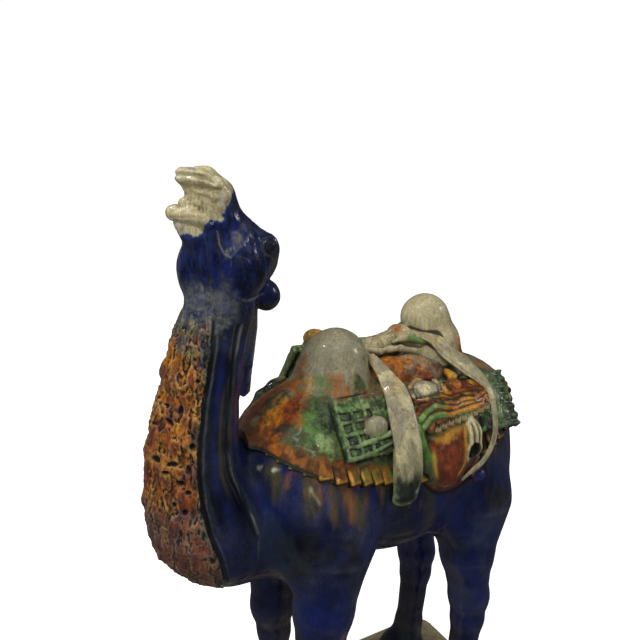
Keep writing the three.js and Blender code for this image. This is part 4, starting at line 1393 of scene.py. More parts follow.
@dataclass
class Head:
    """The lifted head: open bellowing mouth, rolled lips, glossy eyes and heavy cheeks."""

    body: Body
    centre: tuple[float, float] = (-21.5, 88.0)
    lift: float = math.radians(58)
    cell: float = 0.145
    box: Box = ((-38.5, -9, 80), (-12, 9, 103))
    eye: Box = ((-20.1, -3.75, 89.9), (0.95, 0.85, 0.95))

    def __post_init__(self) -> None:
        """Builds the field."""
        egg, chain, joined = Form.egg, Form.chain, Form.joined
        at = self.at
        throat = chain((
            (-25.4, 0, 77, 3.9), (-25.3, 0, 81.5, 4.2), (-25.1, 0, 85, 3.9), (-25.3, 0, 88, 3.9),
            (-25.6, 0, 90.6, 3.2),
        ), 1.5)
        bridge = chain((
            at(-0.6, -0.6, 0, 2.9), at(3.5, -0.2, 0, 2.5), at(6.5, -0.2, 0, 2.2), at(9.4, -0.5, 0, 2.6),
            at(11.8, -0.4, 0, 1.9), at(13.2, 0.8, 0, 1.4),
        ), 1)
        cranium = self.egg_at((0.1, 0.7, 0), (4.2, 4.2, 3.9))
        lower_jaw = chain((at(4.5, 3.5, 0, 3.0), at(7.4, 3.7, 0, 2.3), at(9.3, 4.3, 0, 1.5)), 1)
        cheeks = self.egg_at((0.3, 2.8, 2.4), (4.2, 3.5, 2.3)).on_both_sides()
        brows = self.egg_at((0.5, -2.2, 2.5), (1.8, 1.7, 1.4)).on_both_sides()
        eyes = egg(*self.eye).on_both_sides()
        membrane = self.egg_at((9.3, 1.2, 0), (2.6, 2.4, 2.3))
        tongue = self.egg_at((10.3, 3.1, 0), (1.5, 0.9, 1.6))
        upper_lip = self.ring((
            (9.7, -1.2, 2.3, 1.0), (11.4, -1.0, 2.3, 1.0), (13.1, 0.1, 1.8, 0.95), (14.1, 1.3, 0, 1.0),
        ))
        inner_lip = self.ring(((10.2, 0.0, 2.5, 0.55), (12.0, 0.7, 2.0, 0.6), (12.9, 1.7, 0, 0.6)))
        lower_lip = self.ring((
            (7.8, 2.7, 2.3, 0.7), (9.3, 3.3, 2.1, 0.8), (10.6, 4.4, 1.4, 0.8), (11.1, 5.0, 0, 0.9),
        ))
        beard = egg((-28.6, 2.1, 86.4), (2.2, 2.4, 4.0))
        poll = chain(((-22.0, -0.8, 84.0, 1.4), (-19.6, -1.0, 82.7, 1.9), (-19.3, -0.9, 82.2, 1.9)),
            0.6).on_both_sides()
        grooves = (
            chain(((-31.3, 0.0, 99.4, 0.3), (-30.8, -0.8, 99.5, 0.3), (-29.5, -2.1, 99.5, 0.34),
                   (-28.1, -2.9, 99.1, 0.34), (-27.2, -3.2, 98.5, 0.15)), 0.3).on_both_sides(),
            chain(((-31.0, 0.0, 97.6, 0.6), (-30.0, -1.3, 97.8, 0.5), (-28.4, -2.8, 97.8, 0.4),
                   (-26.4, -3.3, 97.7, 0.15)), 0.3).on_both_sides(),
            chain(((-31.9, 0.0, 95.9, 0.2), (-30.5, -1.1, 95.95, 0.26), (-29.6, -1.7, 95.7, 0.28),
                   (-28.8, -2.3, 95.2, 0.28), (-28.1, -2.8, 94.5, 0.15)), 0.3).on_both_sides(),
        )
        mass = joined(1.4, joined(2, throat, cranium, bridge, lower_jaw), membrane, cheeks, brows, beard)
        mass = joined(0.6, mass, poll)
        lips = joined(0.3, mass, upper_lip, inner_lip, lower_lip, tongue)
        self.form = joined(0.12, lips.carved(0.25, *grooves), eyes)

    def at(self, along: float, deep: float, across: float,
            radius: float) -> tuple[float, float, float, float]:
        """A station given from the poll to the lips, from the brow to the throat, and to the left."""
        c, s = math.cos(self.lift), math.sin(self.lift)
        return (
            self.centre[0] - along * c - deep * s, -across, self.centre[1] + along * s - deep * c, radius,
        )

    def along_deep(self, x: Array, z: Array) -> tuple[Array, Array]:
        """How far along and how deep in the head each point lies."""
        c, s = math.cos(self.lift), math.sin(self.lift)
        dx, dz = x - self.centre[0], z - self.centre[1]
        return -dx * c + dz * s, -dx * s - dz * c

    def egg_at(self, centre: Station, size: Station) -> Form:
        """An ellipsoid on the head, its radii along, deep and across."""
        return Form.egg(self.at(*centre, 0)[:3], (size[1], size[2], size[0]), 90 - math.degrees(self.lift))

    def ring(self, stations: Sequence[Station]) -> Form:
        """A roll of flesh from the left round the tip to the right."""
        left = [self.at(*s) for s in stations]
        right = [self.at(s[0], s[1], -s[2], s[3]) for s in reversed(stations[:-1])]
        return Form.chain(left + right, 0.3)

    def build(self, kiln: Kiln) -> bpy.types.Object:
        """Makes the finished piece, from just inside the neck's top."""
        grain = self.body.grain
        whole = Form.joined(1.0, self.body.neck, self.form)
        fenced = whole.kept(lambda x, y, z: 80.6 - z, 0.05)
        skin = Skin.over(fenced, *self.box, self.cell)
        x, y, z = xyz(skin.points)
        along, deep = self.along_deep(x, z)
        border = np.interp(
            deep, (-2.2, -1.5, -0.5, 0.2, 1.2, 2.15, 3.3, 4, 4.9, 5.4),
            (9.2, 8.6, 8.7, 7.8, 7.6, 8.1, 8.1, 7.6, 8, 8.5),
        )
        past = along - border + 0.45 * grain(x, y, z, 0.9, 3)
        relief = 0.6 * sum(seam.rise * seam.shape(skin.points) for seam in HEAD_SEAMS)
        relief += ramp(0.5, 0, past) * 0.05 * grain(x, y, z * 0.35, 0.7, 3)
        relief += ramp(0, 0.5, past) * (0.04 * grain(x, y, z, 1.3, 2) + 0.05)
        bumps = ramp(0.9, 0.3, Form.thread(TONGUE_RIDGE, 0.0)(x, -np.abs(y), z))
        relief += 0.12 * bumps * np.cos(8.5 * x) * np.cos(8.5 * y)
        skin.press(relief)
        brush = Brush(skin, Glaze.COBALT, grain)
        x, y, z = brush.x, brush.y, brush.z
        brush.mottle(Glaze.NIGHT, 2.6, 1, 0.1, 0.8, 2.0)
        cheek = Form.chain(((-23.3, -4.5, 88.0, 1.6), (-23.4, -4.6, 85.9, 2.0)), 1)(x, -np.abs(y), z)
        brush.wash(Glaze.NIGHT, 0.85 * ramp(0.8, -0.3, cheek))
        jaw = ramp(-26.2, -27.4, x) * ramp(93, 91, z)
        streaks = brush.noise(0.55, 2, 2, 5.0)
        brush.wash(Glaze.SLATE, 0.4 * jaw * ramp(0.2, 0.6, streaks))
        brush.wash(Glaze.NIGHT, 0.8 * jaw * ramp(-0.1, -0.5, streaks))
        under = bloom_throat(brush)
        far = ramp(1.2, 2.4, y) * ramp(-27.5, -28.5, x) * ramp(92, 90, z)
        brush.fleck(Glaze.ASH, 0.6 * far, -0.2, 0.3, 0.9, 6)
        brush.wash(Glaze.NIGHT, 0.6 * ramp(84, 81, z) * ramp(-27.6, -26.5, x))
        brush.wash(Glaze.NIGHT, 0.8 * ramp(0.0, -2.0, deep))
        brush.strokes(HEAD_STROKES)
        brush.vein(Glaze.NIGHT, 0.8, 21, 0.1, 0.7, 5.0)
        brush.vein(Glaze.COBALT, 0.5, 29, 0.2, 0.8, 2.0)
        brush.seams(HEAD_SEAMS, 0.7, 0.75)
        eye = Form.egg(*self.eye)(x, -np.abs(y), z)
        brush.wash(Glaze.SLATE, 0.7 * ridge(eye, 0.3, 0.14))
        brush.wash(Glaze.NIGHT, ramp(0.2, 0.05, eye))
        brush.wash(Glaze.AZURE, 0.5 * ramp(-0.8, -0.15, past))
        brush.wash(Glaze.STRAW, ramp(-0.12, 0.12, past))
        muzzle = ramp(-0.1, 0.3, past)
        brush.fleck(Glaze.CREAM, 0.7 * muzzle, -0.2, 0.4, 1.6, 7)
        brush.fleck(Glaze.TAN, 0.45 * muzzle, 0.1, 0.5, 0.8, 8)
        brush.fleck(Glaze.CHALK, 0.5 * muzzle, 0.2, 0.5, 1.1, 9)
        brush.coat.dust = (0.12 + 0.3 * brush.noise(2.5, 10) + 0.7 * under) * (1 - muzzle)
        brush.coat.craze = 0.9 * muzzle
        brush.pool(3, 8)
        brush.coat.hollow *= np.where(muzzle > 0.5, 0.8, 1.0)
        return kiln.fire("head", skin, brush.coat)


def bloom_throat(brush: Brush) -> Array:
    """Lays the grey bloom under the jaw, which runs down on to the top of the mane.

    Args:
        brush: paints the head or the neck.

    Returns:
        Where the bloom is, from 0 to 1.
    """
    high = ramp(87.0, 83.5, brush.z + 1.2 * brush.noise(0.9, 3))
    low = ramp(79.6, 81.2, brush.z + 1.6 * brush.noise(1.1, 20))
    cover = high * low * ramp(-24.8, -27.2, brush.x + 0.8 * brush.noise(0.9, 4))
    brush.wash(Glaze.SLATE, cover)
    brush.wash(Glaze.ASH, cover * (0.35 + 0.35 * brush.noise(0.5, 5, 2)))
    brush.vein(Glaze.NIGHT, 1.1, 22, 0.1, 0.75 * cover)
    return cover


TONGUE_RIDGE = ((-31.0, 0.0, 96.3), (-30.4, -0.4, 96.4), (-29.6, -1.2, 96.4), (-28.9, -2.0, 96.0),
    (-28.4, -2.4, 95.2))


HEAD_SEAMS = (
    Seam(((-27, -3, 92.4), (-27, -3.6, 90.8), (-26.7, -4.1, 89.8), (-26, -4.5, 89.2)), 0.16, 0.16, Glaze.ASH),
    Seam(((-22.4, -2.9, 91.9), (-23.1, -3.6, 91.1), (-24.3, -4.1, 90.3), (-25.9, -4.5, 89.2)), 0.16, 0.16,
        Glaze.ASH),
    Seam(((-25.9, -4.5, 89.1), (-26, -4.8, 87.7), (-26.6, -4.7, 86.4), (-26.7, -4.7, 85.2)), 0.2, 0.18,
        Glaze.SLATE),
    Seam(((-25.1, -4.6, 89.3), (-24, -4.7, 88.9), (-23.4, -4.8, 88.1)), 0.16, 0.12, Glaze.SLATE),
    Seam(((-21.6, -2.4, 92.4), (-21.1, -3.1, 91.2), (-21.1, -3.9, 89.9), (-20.9, -4.1, 88.4),
        (-20.9, -4.2, 86.9),
          (-21.2, -4.3, 85.2)), 0.2, 0.16, Glaze.SLATE),
    Seam(((-26.1, -4.8, 84.3), (-24.9, -4.9, 83.6), (-23.8, -4.6, 83.1), (-22.6, -4.1, 83.2),
        (-20.9, -2.9, 83.3)),
         0.24, 0.2, Glaze.ASH),
    Seam(((-25.5, -4.7, 88.8), (-25.9, -4.8, 87.7), (-26, -4.9, 86), (-26, -4.9, 84.6)), 0.16, -0.14,
        Glaze.NIGHT),
    Seam(((-20.2, -3.7, 91.1), (-21.0, -4, 90.2), (-20.9, -4.1, 89.0), (-19.9, -3.9, 88.4)), 0.18, 0.14,
        Glaze.ASH),
    Seam(((-19.9, -3.9, 88.4), (-19.0, -3.3, 89.0), (-18.7, -3.3, 90.4), (-19.4, -3.5, 91.2)), 0.18, 0.12,
        Glaze.SLATE),
    Seam(((-28.7, -2.8, 91.9), (-28.5, -3, 90.5), (-28.6, -3.3, 88.7)), 0.2, 0.14, Glaze.SLATE),
    Seam(((-29.9, -1.9, 91.2), (-29.8, -1.7, 89), (-29.8, -1.9, 86.4)), 0.22, 0.16, Glaze.SLATE),
    Seam(((-29.2, -2.5, 91.1), (-29.3, -2.6, 89.1), (-29.3, -2.8, 86.9)), 0.18, -0.16, Glaze.NIGHT),
    Seam(((-27.7, -3.2, 91.2), (-27.9, -3.8, 89.1), (-27.7, -4.2, 87.1), (-27.3, -4.5, 85.5)), 0.2, -0.14,
        Glaze.NIGHT),
    Seam(((-28.2, -4.1, 84.3), (-27.2, -4.6, 83.5), (-26.4, -4.8, 83.5)), 0.2, 0.12, Glaze.ASH, 0.6),
    Seam(((-30.5, 0.1, 82.4), (-29.9, -2.4, 82.3), (-28.9, -3.7, 82.8), (-27.2, -4.6, 83.4)), 0.2, 0.12,
        Glaze.ASH, 0.6),
    Seam(((-20.9, -2.6, 91.9), (-20.3, -3.4, 91), (-20.9, -3.9, 90.2)), 0.16, 0.1, Glaze.SLATE),
    Seam(((-22.9, -0.9, 96.2), (-21.7, -1.4, 94.0), (-20.2, -2.0, 91.9)), 0.2, 0.12, Glaze.SLATE, 0.7),
    Seam(((-29.1, -1.9, 96.9), (-28.1, -2.5, 95.3)), 0.16, -0.16, Glaze.TAN, 0.6),
    Seam(((-28.4, -2.7, 97.3), (-27.7, -2.7, 95.4)), 0.14, -0.12, Glaze.TAN, 0.6),
    Seam(((-27.8, -2.7, 96.8), (-27, -2.8, 95.3)), 0.14, -0.1, Glaze.TAN, 0.5),
    Seam(((-32.2, -0.6, 94.3), (-31.5, -2, 94.4), (-30, -2.7, 94.4), (-28.7, -3, 94.1)), 0.22, -0.16,
        Glaze.TAN, 0.4),
    # a pale chalk line along the top of the upper lip: pale glaze, partly painted highlight
    Seam(((-30.6, -1, 98.7), (-29.6, -2.2, 98.95), (-28.4, -2.9, 98.75), (-27.1, -3.3, 98.15)), 0.3, 0.12,
        Glaze.CHALK, 0.5),
)


HEAD_STROKES = (
    Stroke(Glaze.ASH, ((-23.6, -3.9, 92.6, 0.2), (-24.2, -3.9, 91.4, 0.35), (-25.3, -3.9, 90.1, 0.2)), 0.35,
        1.3, 0.4),
    Stroke(Glaze.ASH, ((-23.9, -3.4, 91.8, 0.35), (-24.5, -3.8, 91.0, 0.45)), 0.35, 0.6, 0.85, 2.0),
    Stroke(Glaze.ASH, ((-25.3, -4.0, 90.5, 0.3), (-26.1, -4.2, 89.9, 0.35)), 0.35, 0.6, 0.85, 2.0),
)


@dataclass
class Blanket:
    """The blanket and the two humps that stand through it."""

    body: Body
    cell: float = 0.216
    box: Box = ((-34, -16, 52), (26, 16, 80))

    def build(self, kiln: Kiln, resting: Sequence[Form]) -> bpy.types.Object:
        """Makes the finished piece.

        Args:
            kiln: finishes it.
            resting: forms that lie on it, round which shade is painted.

        Returns:
            The piece.
        """
        body = self.body

        def fence(x: Array, y: Array, z: Array) -> Array:
            """Below the hem, or up the neck."""
            return np.maximum(body.hem_height(x) - 0.3 - z, -23.2 + 0.3 * (z - 62) - x)

        skin = Skin.over(body.dressed.kept(fence), *self.box, self.cell)
        x, y, z = xyz(skin.points)
        relief = 0.05 * body.grain(x, y, z, 2.6, 3)
        relief += sum(seam.rise * seam.shape(skin.points) for seam in BLANKET_SEAMS_AND_GLINTS)
        skin.press(relief)
        brush = Brush(skin, Glaze.MOSS, body.grain)
        brush.mottle(Glaze.ASH, 3, 1, 0.1, 0.6)
        brush.mottle(Glaze.LEAF, 3.4, 2, 0.15, 0.4)
        brush.mottle(Glaze.OLIVE, 2.4, 3, 0.1, 0.6)
        brush.strokes(BLANKET_STROKES)
        turn, reach = np.arctan2(y, x + 6), np.hypot(x + 6, y)
        flow = body.grain(9 * turn, 0.3 * z, 0.3 * reach, 1.0, 4)
        streaks = ramp(-0.1, 0.5, flow)
        front = Form.chain(((-21.8, -4, 62, 3.0), (-16.5, -2, 66.0, 2.6)), 1)(x, -np.abs(y), z)
        brush.wash(Glaze.RUST, 0.85 * streaks * ramp(1.5, -0.5, front))
        brush.wash(Glaze.GOLD, 0.5 * ramp(-0.1, -0.6, flow) * ramp(1.0, -0.5, front))
        brush.wash(Glaze.UMBER, 0.6 * ramp(0.2, 0.6, brush.noise(1.1, 5)) * ramp(1.5, -0.5, front))
        brush.wash(Glaze.MOSS, 0.45 * ramp(0.0, 0.6, flow) * ramp(-1, 1.0, front))
        brush.vein(Glaze.UMBER, 1.5, 31, 0.07, 0.7 * ramp(2.5, 0.5, front), 1.5)
        brush.vein(Glaze.PEAT, 1.9, 32, 0.07, 0.6, 1.3)
        brush.vein(Glaze.PEAT, 0.9, 35, 0.09, 0.55, 1.8)
        brush.vein(Glaze.FROST, 2.3, 33, 0.05, 0.3 * ramp(0, 1.5, front), 1.3)
        brush.strokes(BLANKET_SPOTS)
        # dark groove and pale lines, partly scratches, partly painted highlights
        brush.seams(BLANKET_SEAMS_AND_GLINTS, 0.55, 0.8)
        for foot, top, reach, grey in (
            ((-8.2, 0, 66), (-7.5, 0, 75.8), 6.3, 0.85), ((10.6, 0, 67), (9.0, 0, 79), 5.6, -0.1),
        ):
            hump = Form.chain(((*foot, reach), (*top, reach * 0.9)), 1)(x, y, z)
            cream = 1 - ramp(-0.5, 0.4, hump + 1.1 * brush.noise(1.8, 6, 3, 2.0))
            brush.wash(Glaze.CREAM, cream)
            brush.wash(Glaze.STRAW, (0.5 - 0.6 * grey) * cream)
            brush.fleck(Glaze.TAN, 0.3 * cream, 0, 0.5, 2.0, 7, 3, 2.0)
            brush.wash(Glaze.ASH, grey * cream * (0.75 + 0.3 * brush.noise(0.9, 8)))
            brush.vein(Glaze.UMBER, 2.6, 34, 0.02, 0.5 * cream)
            brush.coat.craze = np.maximum(brush.coat.craze, cream)
        brush.strokes(HUMP_STROKES)
        lip = z - body.hem_height(x)
        low = ramp(3.0, 1.6, lip + 0.9 * brush.noise(1.5, 9))
        brush.wash(Glaze.AMBER, 0.6 * low)
        brush.fleck(Glaze.UMBER, 0.8 * low, -0.5, 0.4, 1.0, 12, 3, 1.6)
        # painted shadow along the blanket's lower edge, under its step
        brush.wash(Glaze.PEAT, ramp(0.5, 0.1, lip))
        brush.coat.craze = np.maximum(brush.coat.craze, 0.3)
        brush.coat.dust = np.clip(0.1 + 0.2 * brush.noise(4, 10), 0, 1)
        brush.pool(4, 6)
        # painted shade round the load that lies on the blanket
        brush.shade_contacts(resting)
        return kiln.fire("blanket", skin, brush.coat)


BLANKET_STROKES = (
    Stroke(Glaze.AMBER, ((-17.3, -2.2, 66, 1.3), (-15.7, -3.8, 66.3, 1.0)), 0.7, 0.9, 0.95),
    Stroke(Glaze.AMBER, ((-20.3, -1.6, 64.1, 1.6), (-18.9, -3.7, 64.6, 1.5), (-17.2, -5.3, 64.9, 1.2)), 0.7,
        0.9),
    Stroke(Glaze.AMBER, ((-21.9, -1.5, 62.5, 1.6), (-20.8, -4.1, 62.7, 1.6), (-20.2, -7.4, 61.2, 1.3)), 0.7,
        0.9),
    Stroke(Glaze.AMBER, ((-23.2, -1.6, 60.8, 1.3), (-22.2, -3.8, 61.1, 1.2), (-21.1, -6.3, 61.6, 1.0)), 0.6,
        0.7),
    Stroke(Glaze.LEAF, ((-15.2, -5.8, 65.4, 1.1), (-15.3, -7.3, 64.4, 1.3), (-16.2, -8.6, 63.0, 1.1)), 0.7,
        0.9, 0.9),
    Stroke(Glaze.FROST, ((-15.4, -9.0, 62.9, 0.8), (-15.2, -10.0, 62.0, 0.9)), 0.6, 0.9, 0.7),
    Stroke(Glaze.PEAT, ((-14.0, -7.2, 64.8, 0.7), (-13.4, -8.2, 64.2, 0.8)), 0.6, 0.6, 0.9),
    Stroke(Glaze.AMBER, ((-15.8, -11.1, 60.4, 0.7), (-16, -11.9, 59.7, 0.6)), 0.5, 0.6, 0.9),
    Stroke(Glaze.AMBER, ((2.3, -1.7, 69.7, 0.9), (4.3, -2.4, 69.3, 0.8)), 0.5, 0.7),
    Stroke(Glaze.AMBER, ((4.2, -3.4, 67.6, 0.8), (6.4, -3.9, 67.5, 0.7), (8.8, -5.2, 67, 0.8)), 0.5, 0.7),
    Stroke(Glaze.RUST, ((-1.0, -3.4, 68.4, 0.7), (1.0, -4.6, 67.4, 0.9)), 0.5, 0.8, 0.8),
    Stroke(Glaze.ASH, ((5.2, -3.0, 70.6, 0.7), (6.9, -3.5, 69.2, 0.9)), 0.6, 0.7, 0.8),
    Stroke(Glaze.ASH, ((3.1, -2.3, 67.9, 0.7), (5.3, -5.3, 66.4, 0.9)), 0.6, 0.7, 0.7),
    Stroke(Glaze.TAN, ((15.5, -1, 68, 2.8), (21, -2, 64, 3.2)), 1.0, 1.3, 0.9),
    Stroke(Glaze.AMBER, ((17.0, -3.5, 66.6, 1.3), (20.8, -5, 62, 1.6)), 0.9, 1.2, 0.8),
)


BLANKET_SPOTS = (
    Stroke(Glaze.FROST, ((-18.6, 0.8, 65.5, 0.4), (-20.2, 1, 64.1, 0.5), (-21.5, 0.1, 63.0, 0.5)), 0.3, 0.5,
        0.7),
    Stroke(Glaze.PEAT, ((-22.2, -2.9, 61.9, 0.35), (-21.4, -3.1, 62.4, 0.45)), 0.3, 0.4, 0.9),
    Stroke(Glaze.PEAT, ((-20.0, -4.2, 63.5, 0.3), (-18.9, -5.2, 63.9, 0.45)), 0.3, 0.5, 0.85),
    Stroke(Glaze.MOSS, ((-19.6, -6.4, 62.5, 0.6), (-18.2, -6.8, 63.3, 0.6), (-18.1, -8.1, 62.4, 0.5)), 0.4,
        0.6, 0.9),
    Stroke(Glaze.UMBER, ((-18.8, -9.2, 61.0, 0.45),), 0.2, 0.2, 0.9),
)


# A dark groove, and thin chalk and cream lines that are partly scratches, partly painted highlights.
BLANKET_SEAMS_AND_GLINTS = (
    Seam(((-14.9, 0.4, 67.6), (-15.0, -2.4, 67.1), (-13.7, -3.4, 67.8), (-12.4, -4.4, 67.6)), 0.25, -0.12,
        Glaze.PEAT, 0.8),
    Seam(((-19.8, -8.4, 61), (-19.1, -7.8, 61.7), (-18.4, -7.8, 62.3), (-17.7, -8.8, 62)), 0.14, 0.05,
        Glaze.CHALK, 0.9),
    Seam(((-17.7, -8.8, 62), (-16.9, -9.7, 61.7), (-16.9, -10.2, 61), (-17.4, -10.9, 60)), 0.16, 0.05,
        Glaze.CREAM, 0.9),
    Seam(((-19.8, -8.6, 60.9), (-19.5, -9.7, 60.5), (-18.6, -10.4, 59.9)), 0.13, 0.04, Glaze.CHALK, 0.8),
    Seam(((-17.2, -6.6, 64.1), (-17.6, -7, 63.6), (-18.5, -6.7, 63.1), (-18.1, -7.5, 62.9)), 0.15, 0.0,
        Glaze.CHALK, 0.8),
)


HUMP_STROKES = (
    Stroke(Glaze.AMBER, ((-12.7, 0.9, 71.4, 0.5), (-13.7, -0.1, 69.9, 0.7), (-14.8, -0.1, 67.6, 0.8)), 0.9,
        1.1, 0.68, 2.0),
    Stroke(Glaze.AMBER, ((-14.8, -1.1, 67.4, 0.7), (-14.6, -3.1, 67.0, 0.7)), 0.7, 0.8, 0.68),
    Stroke(Glaze.GOLD, ((-13.2, -2.4, 69.4, 0.25), (-13.6, -3.2, 67.9, 0.35)), 0.7, 0.6, 0.52, 2.0),
    Stroke(Glaze.LEAF, ((-12.2, -3.6, 69.6, 0.4), (-12.3, -4.4, 68.2, 0.6), (-13.2, -4.6, 67.3, 0.9)), 0.9,
        1.0, 0.68, 2.0),
    Stroke(Glaze.PEAT, ((-12.2, -5.3, 67.0, 0.5), (-13.8, -4.5, 66.8, 0.4)), 0.7, 0.8, 0.52),
    Stroke(Glaze.AMBER, ((-10.1, -5.2, 69.2, 0.4), (-10.6, -5.6, 67.6, 0.6), (-9.2, -6.1, 67.1, 0.8)), 0.9,
        1.3, 0.64, 1.6),
    Stroke(Glaze.RUST, ((-9.9, -6.2, 66.5, 0.6), (-7.6, -6.6, 66.8, 0.5)), 0.9, 1.1, 0.52),
    Stroke(Glaze.AMBER, ((-3.5, -4.4, 68.9, 0.5), (-3.7, -5.9, 67.3, 0.7), (-4.8, -6.6, 66.8, 0.8)), 0.7,
        1.1, 0.68, 1.5),
    Stroke(Glaze.ASH, ((-11.6, -1.7, 72.0, 0.3), (-10.7, -1.8, 73.4, 0.25)), 0.3, 0.3, 0.8),
    Stroke(Glaze.AMBER, ((11.6, -4.1, 71.6, 0.3), (13.2, -3.9, 69.7, 0.5), (12.9, -6.9, 68.8, 0.7)), 0.7,
        1.0, 0.68, 1.6),
    Stroke(Glaze.UMBER, ((13.9, -3.6, 69.6, 0.3), (13.4, -7.4, 68.3, 0.4)), 0.3, 0.5, 0.85, 1.6),
    Stroke(Glaze.TAN, ((14.0, -2, 73.6, 0.9), (15.4, -2.6, 68.6, 1.3)), 0.8, 1.0, 0.75, 2.0),
)


@dataclass
class Boards:
    """The two latticed pack boards, with a dome and a leaf on the near one."""

    body: Body
    length: float = 0.218 / MODULE
    width: float = 0.063 / MODULE
    thickness: float = 0.010 / MODULE
    bar: float = 0.0038 / MODULE
    pocket_depth: float = 0.0022 / MODULE
    rows: int = 4
    row: float = 1.73
    column: float = 2.08
    lattice_end: float = 5.2
    scallop: float = 0.08
    cell: float = 0.175
    near_place: Place = ((3.0, -9.9, 63.1), (0.62, 0.785), 2.6, 1)
    far_place: Place = ((3.6, -9.0, 66.0), (0.5, 0.866), 5.0, -1)
    near_box: Box = ((-14, -16, 56), (20, -5, 70))
    far_box: Box = ((-14, 4, 58), (21, 14, 74))
    boss: Box = ((-7.1, -10.7, 63.6), (1.75, 1.35, 1.65))

    def local(self, centre: Station, upward: Station, tip: float, side: int) -> Depth:
        """A function that turns x, y, z into places along a board, up its face and out from it.

        Args:
            centre: its middle, drawn on the left.
            upward: y and z of the way up its face.
            tip: degrees that its tail end hangs.
            side: 1 for the left, -1 for the right.

        Returns:
            The function.
        """
        uy, uz = np.array(upward) / np.linalg.norm(upward)
        c, s = math.cos(math.radians(-tip)), math.sin(math.radians(-tip))

        def turned(x: Array, y: Array, z: Array) -> tuple[Array, Array, Array]:
            """Along, up and out."""
            dx, dy, dz = x - centre[0], side * y - centre[1], z - centre[2]
            up = dy * uy + dz * uz
            return dx * c + up * s, -dx * s + up * c, -dy * uz + dz * uy

        return turned

    def pockets(self, along: Array, up: Array) -> Array:
        """Signed distance outside the nearest pocket, in the board's face."""
        sway = 0.16 * self.body.grain(along, up, up * 0, 1.7, 2)
        a = along + self.length / 2 - 0.25 + sway
        b = up + self.width / 2 - 0.2 - sway
        across = np.clip(np.floor(a / self.column), 0, 5)
        line = np.clip(np.floor(b / self.row), 0, self.rows - 1)
        away = np.maximum(
            np.abs(a - (across + 0.5) * self.column) - (self.column - self.bar) / 2,
            np.abs(b - (line + 0.5) * self.row) - (self.row - self.bar) / 2,
        )
        return np.maximum(away, a - self.lattice_end)

    def plate(self, turned: Depth) -> Form:
        """One board's form.

        Args:
            turned: its local function.

        Returns:
            The form.
        """
        half = (self.length / 2, self.width / 2, self.thickness / 2)
        soft = 0.25

        def depth(x: Array, y: Array, z: Array) -> Array:
            """Distance to the board."""
            a, b, out = turned(x, y, z)
            tail = ramp(half[0] - 2.6, half[0] - 1.0, a)
            ribs = self.scallop * tail * np.cos(2 * math.pi * b / (self.width / 6))
            size = (half[0] + 0.6 * ribs, half[1], half[2] + 0.4 * ribs)
            q = [np.abs(v) - h + soft for v, h in zip((a, b, out), size)]
            outside = np.sqrt(sum(np.maximum(v, 0) ** 2 for v in q))
            block = outside + np.minimum(np.maximum.reduce(q), 0) - soft
            cut = -soft_lower(-self.pockets(a, b), -(half[2] - self.pocket_depth - out), 0.15)
            return -soft_lower(-block, cut, 0.15)

        return Form(depth)

    def near_form(self) -> Form:
        """The near board with its dome and leaf."""
        plate = self.plate(self.local(*self.near_place))
        leaf = Form.chain(((-10.9, -11.7, 61.8, 0.15), (-9.4, -11.4, 61.9, 0.3), (-4.9, -11.7, 62.6, 0.5)),
            0.3)
        low = Form.chain(((-12.4, -12.6, 60.5, 0.2), (-8.4, -12.6, 60.9, 0.25), (-4.8, -12.4, 61.6, 0.25)),
            0.3)
        return Form.joined(0.25, plate, self.dome(), leaf, low)

    def dome(self) -> Form:
        """The round boss on the near board."""
        return Form.egg(*self.boss)

    def far_form(self) -> Form:
        """The far board."""
        return self.plate(self.local(*self.far_place))

    def build(self, kiln: Kiln, resting: Sequence[Form]) -> list[bpy.types.Object]:
        """Makes both finished boards.

        Args:
            kiln: finishes them.
            resting: forms that lie on them.

        Returns:
            The pieces.
        """
        made = []
        for name, form, box, place in (
            ("near_board", self.near_form(), self.near_box, self.near_place),
            ("far_board", self.far_form(), self.far_box, self.far_place),
        ):
            skin = Skin.over(form, *box, self.cell)
            a, b, out = self.local(*place)(*xyz(skin.points))
            face = ramp(0, 0.3, out)
            pocket = face * ramp(0.05, -0.15, self.pockets(a, b))
            ring = np.sqrt(((a - 11.2) / 1.3) ** 2 + ((b + 0.6) / 1.9) ** 2)
            oval = face * ridge(ring, 1, 0.22)
            loops = np.cos(2 * math.pi * (a + 1.1) / self.column) * np.cos(2 * math.pi * (b + 0.3) / self.row)
            relief = 0.16 * oval + 0.1 * pocket * ramp(0.1, 0.8, -loops)
            relief += 0.14 * ramp(0.3, -0.3, out) * np.cos(2 * math.pi * a / 1.1)
            relief += 0.12 * ramp(self.length / 2 - 1.8, self.length / 2 - 1.0, a) * np.cos(2 * math.pi
                * b / 1.5)
            skin.press(relief + 0.05 * self.body.grain(*xyz(skin.points), 0.9, 3))
            brush = Brush(skin, Glaze.MOSS, self.body.grain)
            brush.mottle(Glaze.LEAF, 2.0, 1, 0.0, 0.85)
            brush.mottle(Glaze.FROST, 1.5, 2, 0.3, 0.6)
            brush.mottle(Glaze.PEAT, 1.6, 3, 0.25, 0.8)
            bars = face * ramp(-self.length / 2 + self.lattice_end + 0.5, -self.length / 2
                + self.lattice_end, a)
            brush.fleck(Glaze.FROST, 0.65 * bars * (1 - pocket), -0.4, 0.5, 0.8, 4)
            # darker pockets and rims: darker glaze, with painted shade in the recesses
            rim = ridge(self.pockets(a, b), -0.05, 0.12)
            brush.wash(Glaze.PEAT, 0.45 * pocket + 0.6 * face * rim)
            brush.fleck(Glaze.MOSS, 0.8 * pocket, -0.4, 0.3, 0.7, 5)
            brush.fleck(Glaze.LEAF, 0.5 * pocket, 0.1, 0.5, 0.7, 12)
            edge = ridge(b - self.width / 2, -0.25, 0.3) * ramp(4, -2, a)
            brush.fleck(Glaze.RUST, 0.8 * edge, -0.4, 0.2, 1.5, 6)
            if name == "near_board":
